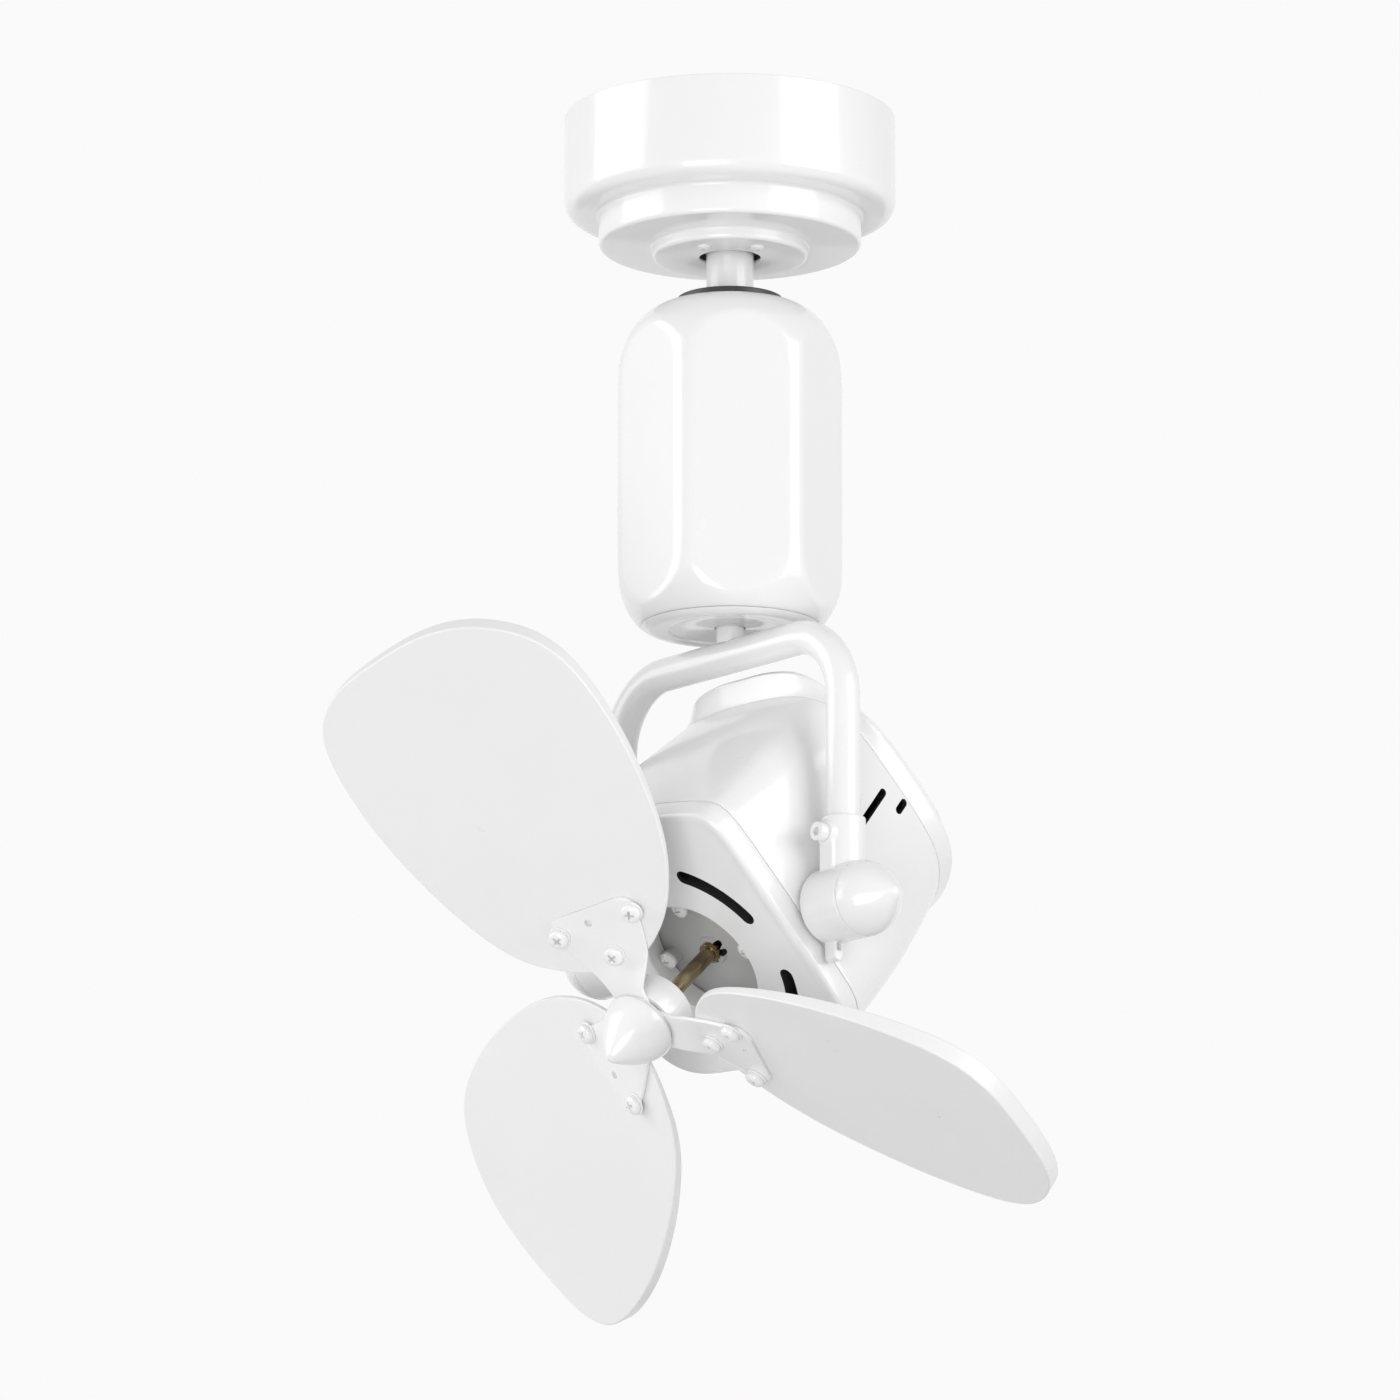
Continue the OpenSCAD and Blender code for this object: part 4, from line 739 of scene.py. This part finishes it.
def front_cover():
    s, bend = COVER_BACK_F, COVER_TOP_F - EDGE_F
    rings = [head_ring(FRONT, s, -HEAD_WALL), head_ring(FRONT, s, -0.7),
             head_ring(FRONT, s + 0.15, -0.25), head_ring(FRONT, s + 0.7),
             head_ring(FRONT, COVER_EDGE_F), head_ring(FRONT, bend)]
    for i in range(1, 9):
        a = math.radians(90 * i / 8)
        rings.append(head_ring(FRONT, bend + EDGE_F * math.sin(a), -EDGE_IN * (1 - math.cos(a))))
    rings += [head_ring(FRONT, COVER_TOP_F, -4.2), head_ring(FRONT, 27.1, -5),
              head_ring(FRONT, COVER_FACE_F, -FLAT_IN)]
    rings += [blend_ring(FRONT, -FLAT_IN, 35.6, COVER_FACE_F, i / 10) for i in range(1, 11)]
    mouth = ((34.6, 26.85), (33.9, 26.4), (MOUTH_R, 25.6), (MOUTH_R, MOUTH_LIP_F),
             (MOUTH_OUT_R, MOUTH_LIP_F), (MOUTH_OUT_R, COVER_INNER_F))
    rings += [circle_ring(r, f) for r, f in mouth]
    outer = len(rings)
    rings += [blend_ring(FRONT, -HEAD_WALL, MOUTH_OUT_R, COVER_INNER_F, t)
              for t in (0.75, 0.5, 0.25, 0.0)]
    obj = make("front_cover_skin", *skin(rings, closed=True), "white_enamel", place=HEAD)
    # The cover's inner side is dark painted shade
    shade_inside(obj, outer - 1, len(rings))
    for base in (0, math.pi):
        for ends in FACE_VENTS:
            a0, a1 = (base + math.radians(a) for a in ends)
            slot = arc_slot(FACE_VENT_R, FACE_VENT_W, a0, a1, 20, 32)
            # The slots' walls are dark painted shade
            boolean(obj, make("slot", *slot, None, place=HEAD), "painted_shade_inside")
    deep = COVER_FITTING_F
    spigot = make("spigot", *lathe([(50.1, 9), (51.2, 9), (51.2, deep), (50.1, deep)], 128), None,
                  place=HEAD)
    # The spigot seen through the slots is dark painted shade
    for poly in spigot.data.polygons:
        poly.material_index = 1
    rest = [spigot]
    bush = [(0, s), (BUSH_R, s), (BUSH_R, deep), (0, deep)]
    for x, q in BUSH_SPOTS:
        place = HEAD @ Matrix.Translation((x, q, 0))
        rest.append(make("bush", *lathe(bush, 40), None, place=place))
    obj = join("front_cover_shell", [obj] + rest)
    put(obj, "tilting_head", "front_cover")
    finish_faces(obj, 40, weight=False)


front_cover()


# Rear cover: flares out from the seam to its widest outline, then closes in a flat dome with two
# screw holes
def rear_cover():
    seam, end = -85.12, -113.0
    hole_r, hole_x, hole_q = 3.75, 62, -12
    rings = [head_ring(BACK, seam, -HEAD_WALL), head_ring(BACK, seam, -0.5),
             head_ring(BACK, seam - 0.05, -0.15)]
    for i in range(14):
        t = i / 13
        flare = t ** 1.1
        rings.append(head_ring(BACK * (1 - flare) + REAR * flare, -85.5 - 8.5 * t))
    back = rounded([(1, -94.2, 0), (1, -95.9, 0.02), (0.85, -105.7, 3), (0.6, -112.9, 3),
                    (0.46, end, 0)], 8)
    back = back[:-1] + [(k, end - 0.02 * (0.58 - k)) for k in (0.45, 0.3, 0.15, 0.04)]
    for k, f in back:
        rings.append([(x * k, q * k, f) for x, q, _ in head_ring(REAR, 0)])
    obj = make("rear_cover_skin", *skin(rings, cap_end=True), "white_enamel", place=HEAD)
    put(obj, "tilting_head", "rear_cover")
    hole = [(0, -120), (hole_r, -120), (hole_r, -89), (0, -89)]
    for side in (1, -1):
        place = HEAD @ Matrix.Translation((side * hole_x, hole_q, 0))
        boolean(obj, make("hole", *lathe(hole, 40), None, place=place))
    finish_faces(obj, 40, weight=False)


rear_cover()


# A place on a circle around the shaft, at an angle in degrees
def around(angle, r):
    return HEAD @ Matrix.Rotation(math.radians(angle), 4, "Z") @ Matrix.Translation((r, 0, 0))


# The shaft, the notches around it and how far out the motor face's bosses stand
SHAFT_R, SHAFT_END_F = 4, 90.5
LOBE_R, LOBE_OUT = 2.3, 6.3
FACE_BOSS_OUT = 28.5


# Motor face: a white casting darkened to grey enamel as painted shade, with a notched hole and
# four bosses; the shaft carries a bronze ring
def motor_face():
    face = SEAM_F
    line = rounded([(4.8, 7, 0), (4.8, face + 2, 0.3), (7.5, face + 2, 0.5), (8.2, face, 0.7),
                    (49, face, 0.8), (50, face - 1, 0.5), (50, -5, 0), (47, -5, 0), (47, 12, 0),
                    (14, 12, 0), (14, 7, 0)], 3, closed=True)
    obj = make("motor_face_casting", *lathe(line, 144), "shaded_casting", place=HEAD)
    # The notches' walls are dark painted shade
    obj.data.materials.append(MATS["painted_shade_inside"])
    lobe = [(0, 8), (LOBE_R, 8), (LOBE_R, 19), (0, 19)]
    for angle in (20, 160, 250, 340):
        notch = make("lobe", *lathe(lobe, 32), None, place=around(angle, LOBE_OUT))
        boolean(obj, notch, "painted_shade_inside")
    boss = rounded([(0, 12, 0), (5.2, 12, 0), (4.5, face + 0.6, 1.2), (4.5, face + 5, 0.5),
                    (0, face + 5, 0)], 3)
    parts = [obj] + [make("boss", *lathe(boss, 40), None, place=around(angle, FACE_BOSS_OUT))
                     for angle in range(-5, 266, 90)]
    obj = join("motor_face_shell", parts)
    put(obj, "tilting_head", "motor_front_bell")
    finish_faces(obj, 40, weight=False)
    axle = rounded([(0, -50, 0), (SHAFT_R, -50, 0), (SHAFT_R, SHAFT_END_F, 0.4),
                    (0, SHAFT_END_F, 0)], 2)
    shaft = make("shaft", *lathe(axle, 64), "zinc_steel", place=HEAD)
    shaft.data.materials.append(MATS["bronze"])
    low, high, out = face + 0.4, face + 4.6, 5.5
    ring = rounded([(SHAFT_R, low, 0), (out, low, 0), (out, high, 0.4), (SHAFT_R, high, 0)], 3,
                   closed=True)
    bush = make("bush", *lathe(ring, 64), "bronze", place=HEAD)
    for poly in bush.data.polygons:
        poly.material_index = 1
    shaft = join("motor_shaft_turned", [shaft, bush])
    put(shaft, "rotor", "motor_shaft")
    finish_faces(shaft, 40, weight=False)


motor_face()


# Blades: flat moulded boards that grow thicker towards the tip
BLADE = [(28, 4), (46, 46), (84, 69), (140, 83), (190, 82), (214, 64), (225.5, 27), (228.5, -8),
         (221, -36), (203, -58), (174, -67.5), (128, -67), (78, -55), (42, -30)]
BLADE_FRONT, BLADE_THIN, BLADE_T = 2.5, 2.4, 9.5


# The blade's thickness at a place on it
def blade_depth(x, y):
    return max(min(BLADE_T, 1.7 + 0.03445 * x + 0.0078 * y), BLADE_THIN)


# The closed line moved sideways by d
def inset_loop(line, d):
    out = []
    n = len(line)
    for i in range(n):
        a, b = Vector(line[i - 1]), Vector(line[(i + 1) % n])
        t = (b - a).normalized()
        out.append((line[i][0] + t.y * d, line[i][1] - t.x * d))
    return out


def blade(k, name, node):
    edge, rim = 0.9, 9
    line = spline_loop(BLADE, 12)
    area = sum(line[i - 1][0] * line[i][1] - line[i][0] * line[i - 1][1] for i in range(len(line)))
    inward = -1 if area > 0 else 1

    def front(inset, depth):
        return [(x, y, BLADE_FRONT - depth) for x, y in inset_loop(line, inward * inset)]

    def back(inset, depth):
        return [(x, y, BLADE_FRONT - blade_depth(*at) + depth)
                for (x, y), at in zip(inset_loop(line, inward * inset), line)]
    bends = [(edge * (1 - math.sin(a)), edge * (1 - math.cos(a)))
             for a in [math.radians(90 * i / 6) for i in range(7)]]
    rings = [front(rim, 0)] + [front(*b) for b in bends] + [back(*b) for b in reversed(bends)]
    rings.append([(x, y, BLADE_FRONT - blade_depth(x, y))
                  for x, y in inset_loop(line, inward * rim)])
    obj = make(name, *skin(rings, cap_start=True, cap_end=True), "blade_plastic",
               place=blade_matrix(k))
    put(obj, "rotor", node)
    finish_faces(obj, 60)


for k, node in enumerate(("blade_a", "blade_b", "blade_c")):
    blade(k, node + "_board", node)


# Pan head screws with a cross recess, each on its washer
def pan_head(r, h):
    line = [(0, 0), (r - 0.25, 0), (r, 0.25), (r, h * 0.42)]
    for i in range(1, 9):
        a = math.radians(80 * i / 8)
        across = 0.35 + 0.65 * math.cos(a) if i < 8 else 0.45
        line.append((r * across, h * 0.42 + h * 0.58 * math.sin(a) / 0.985))
    line.append((0, h))
    return lathe(line, 48)


def screw_head(r, h, place):
    obj = make("head", *pan_head(r, h), None, place=place)
    w, reach = r * 0.13, r * 0.52
    arm = [(w, w), (w, reach), (-w, reach)]
    cross = []
    for _ in range(4):
        cross += arm
        arm = [(-y, x) for x, y in arm]
    deep = [(x * 0.55, y * 0.55, h * 0.25) for x, y in cross]
    high = [(x * 1.15, y * 1.15, h * 1.3) for x, y in cross]
    cutter = skin([deep, high], cap_start=True, cap_end=True)
    boolean(obj, make("cross", *cutter, None, place=place))
    return obj


# Places of the three screws on each blade, the top of the bracket's plate, and the fixings' sizes
SPOTS = ((56, 22), (56, -22), (37.6, 0))
PLATE_TOP = 4.7
SCREW_R, SCREW_H = 5, 3.4
WASHER_HOLE, WASHER_R, WASHER_T = 2.5, 5.8, 1


def blade_fixings():
    heads, washers = [], []
    ring = rounded([(WASHER_HOLE, 0.02, 0), (WASHER_R, 0.02, 0.2), (WASHER_R, WASHER_T, 0.35),
                    (WASHER_HOLE, WASHER_T, 0.2)], 3, closed=True)
    for k in range(3):
        for i, (x, y) in enumerate(SPOTS):
            spot = blade_matrix(k) @ Matrix.Translation((x, y, PLATE_TOP))
            washers.append(make("washer", *lathe(ring, 48), None, place=spot))
            turn = Matrix.Rotation(math.radians(23 + 41 * i + 67 * k), 4, "Z")
            seat = spot @ Matrix.Translation((0, 0, WASHER_T)) @ turn
            heads.append(screw_head(SCREW_R, SCREW_H, seat))
    for name, objs, node in (("blade_screw_heads", heads, "blade_screws"),
                             ("blade_washer_rings", washers, "blade_washers")):
        obj = join(name, objs)
        obj.data.materials.append(MATS["white_enamel"])
        put(obj, "rotor", node)
        finish_faces(obj, 35, weight=False)


blade_fixings()


# Nose cone: its base on the shaft, its radius and its length
NOSE_F, NOSE_R, NOSE_LEN = 79.0, 18.5, 28


def nose():
    place = HEAD @ Matrix.Translation((0, 0, NOSE_F))
    make("nose_cone_turned", *lathe(point_profile(NOSE_R, NOSE_LEN), 128), "white_enamel",
         place=place, body="rotor", node="nose_cone", crease=60)


nose()


# Brackets: one sheet each, a tab under the nose cone that twists into a wide plate on the blade
TAB_HALF, TAB_END, WIDE_X = 11.0, 18.0, 58.8
END_X, END_HALF, END_R = 56.5, 16.5, 9.0
SHEET, SHEET_EDGE, TAB_F = 2.2, 0.8, 8
PILOT_R, PILOT_X, PILOT_Y = 2, 58, 3.3


# Half the bracket's width at x: a straight tab, a widening neck, two round corners
def bracket_half(x):
    if x < TAB_END:
        return TAB_HALF
    if x < WIDE_X:
        t = (x - TAB_END) / (WIDE_X - TAB_END)
        return TAB_HALF + 14.2 * t + 1.2 * math.sin(math.pi * t)
    return END_HALF + math.sqrt(max(END_R ** 2 - (x - END_X) ** 2, 0))


# Cross section at x: a flat bar with rounded edges, level on the tab and pitched on the blade
def bracket_section(x, thin=0.0):
    t = min(max((x - 13) / 21, 0), 1)
    w = t * t * (3 - 2 * t)
    e = SHEET_EDGE
    inner = bracket_half(x) - e
    low, high = thin, SHEET - thin
    ring = []
    for cx, cz, first in ((inner, high - e, 0), (-inner, high - e, 90), (-inner, low + e, 180),
                          (inner, low + e, 270)):
        for i in range(5):
            a = math.radians(first + 22.5 * i)
            ring.append((cx + e * math.cos(a), cz + e * math.sin(a)))
        if first in (0, 180):
            way, z = (1, high) if first == 0 else (-1, low)
            ring += [(way * inner * (1 - 2 * j / 8), z) for j in range(1, 8)]
    return [tuple(Vector((x, y, TAB_F + z)) * (1 - w)
                  + PITCH @ Vector((x, y, BLADE_FRONT + z)) * w) for y, z in ring]


def bracket(k, name, node):
    xs = [7 + 0.9 * i for i in range(55)]
    xs += [END_X + END_R * math.sin(math.radians(a)) for a in range(5, 86, 8)]
    rings = [bracket_section(x) for x in xs]
    rings += [bracket_section(65.48, 0.1), bracket_section(65.52, 0.5)]
    obj = make(name, *skin(rings, cap_start=True, cap_end=True), "white_enamel",
               place=arm_matrix(k))
    place = blade_matrix(k) @ Matrix.Translation((PILOT_X, PILOT_Y, 0))
    hole = [(0, 1), (PILOT_R, 1), (PILOT_R, 6), (0, 6)]
    boolean(obj, make("pilot", *lathe(hole, 32), None, place=place))
    put(obj, "rotor", node)
    finish_faces(obj, 50, weight=False)


for k, node in enumerate(("blade_bracket_a", "blade_bracket_b", "blade_bracket_c")):
    bracket(k, node + "_sheet", node)


# Nodes that keep their own shape get softened edges
def soften(names, width):
    for name in names:
        obj = nodes[name]
        weld = obj.modifiers.new("weld", "WELD")
        weld.merge_threshold = 0.00001
        thin = obj.modifiers.new("flat", "DECIMATE")
        thin.decimate_type = "DISSOLVE"
        thin.angle_limit = math.radians(0.5)
        mod = obj.modifiers.new("edge", "BEVEL")
        mod.width = width * MM
        mod.segments = 3
        mod.limit_method = "ANGLE"
        mod.angle_limit = math.radians(35)
        mod.harden_normals = True


soften(["blade_hub", "hub_washer", "left_clamp_bolt", "right_clamp_bolt"], 0.3)


# Room: pale floor, white surroundings, soft lamps. The world lights the fan plainly, and the
# camera and reflections see a brighter one.
def surroundings():
    world = bpy.data.worlds.new("room")
    bpy.context.scene.world = world
    world.use_nodes = True
    nt = world.node_tree
    nt.nodes.clear()
    out = nt.nodes.new("ShaderNodeOutputWorld")
    mix = nt.nodes.new("ShaderNodeMixShader")
    for socket, grey, strength in ((1, 1.0, 0.46), (2, 0.955, 1.0)):
        light = nt.nodes.new("ShaderNodeBackground")
        light.inputs["Color"].default_value = (grey, grey, grey, 1)
        light.inputs["Strength"].default_value = strength
        nt.links.new(light.outputs["Background"], mix.inputs[socket])
    path = nt.nodes.new("ShaderNodeLightPath")
    either = nt.nodes.new("ShaderNodeMath")
    either.operation = "MAXIMUM"
    nt.links.new(path.outputs["Is Camera Ray"], either.inputs[0])
    nt.links.new(path.outputs["Is Glossy Ray"], either.inputs[1])
    nt.links.new(either.outputs["Value"], mix.inputs["Fac"])
    nt.links.new(mix.outputs["Shader"], out.inputs["Surface"])


surroundings()


def floor():
    half, z, n = 6.0, -2.3, 8
    mesh = bpy.data.meshes.new("floor")
    at = [-half + 2 * half * i / n for i in range(n + 1)]
    verts = [(x, y, z) for y in at for x in at]
    row = n + 1
    faces = [(j * row + i, j * row + i + 1, (j + 1) * row + i + 1, (j + 1) * row + i)
             for j in range(n) for i in range(n)]
    mesh.from_pydata(verts, [], faces)
    obj = bpy.data.objects.new("floor", mesh)
    bpy.context.scene.collection.objects.link(obj)
    mat, _, bsdf = new_material("floor_pale")
    bsdf.inputs["Base Color"].default_value = (0.8, 0.8, 0.8, 1)
    bsdf.inputs["Roughness"].default_value = 0.8
    mesh.materials.append(mat)


floor()


# Sizes and places in metres, power in watts
def lamp(name, location, target, size, power):
    data = bpy.data.lights.new(name, "AREA")
    data.shape = "RECTANGLE"
    data.size, data.size_y = size
    data.energy = power
    obj = bpy.data.objects.new(name, data)
    bpy.context.scene.collection.objects.link(obj)
    obj.location = location
    obj.rotation_euler = (Vector(target) - Vector(location)).to_track_quat("-Z", "Y").to_euler()


lamp("key", (-1.5, -2.4, 0.5), (0, 0, -0.35), (2.4, 2.4), 36)
lamp("fill", (2.7, 0.9, 0.2), (0, 0, -0.35), (2.2, 2.4), 44)
lamp("front", (1.6, -2.4, -1.3), (0, 0, -0.45), (1.6, 1.6), 34)

bpy.context.scene.view_settings.view_transform = "Standard"
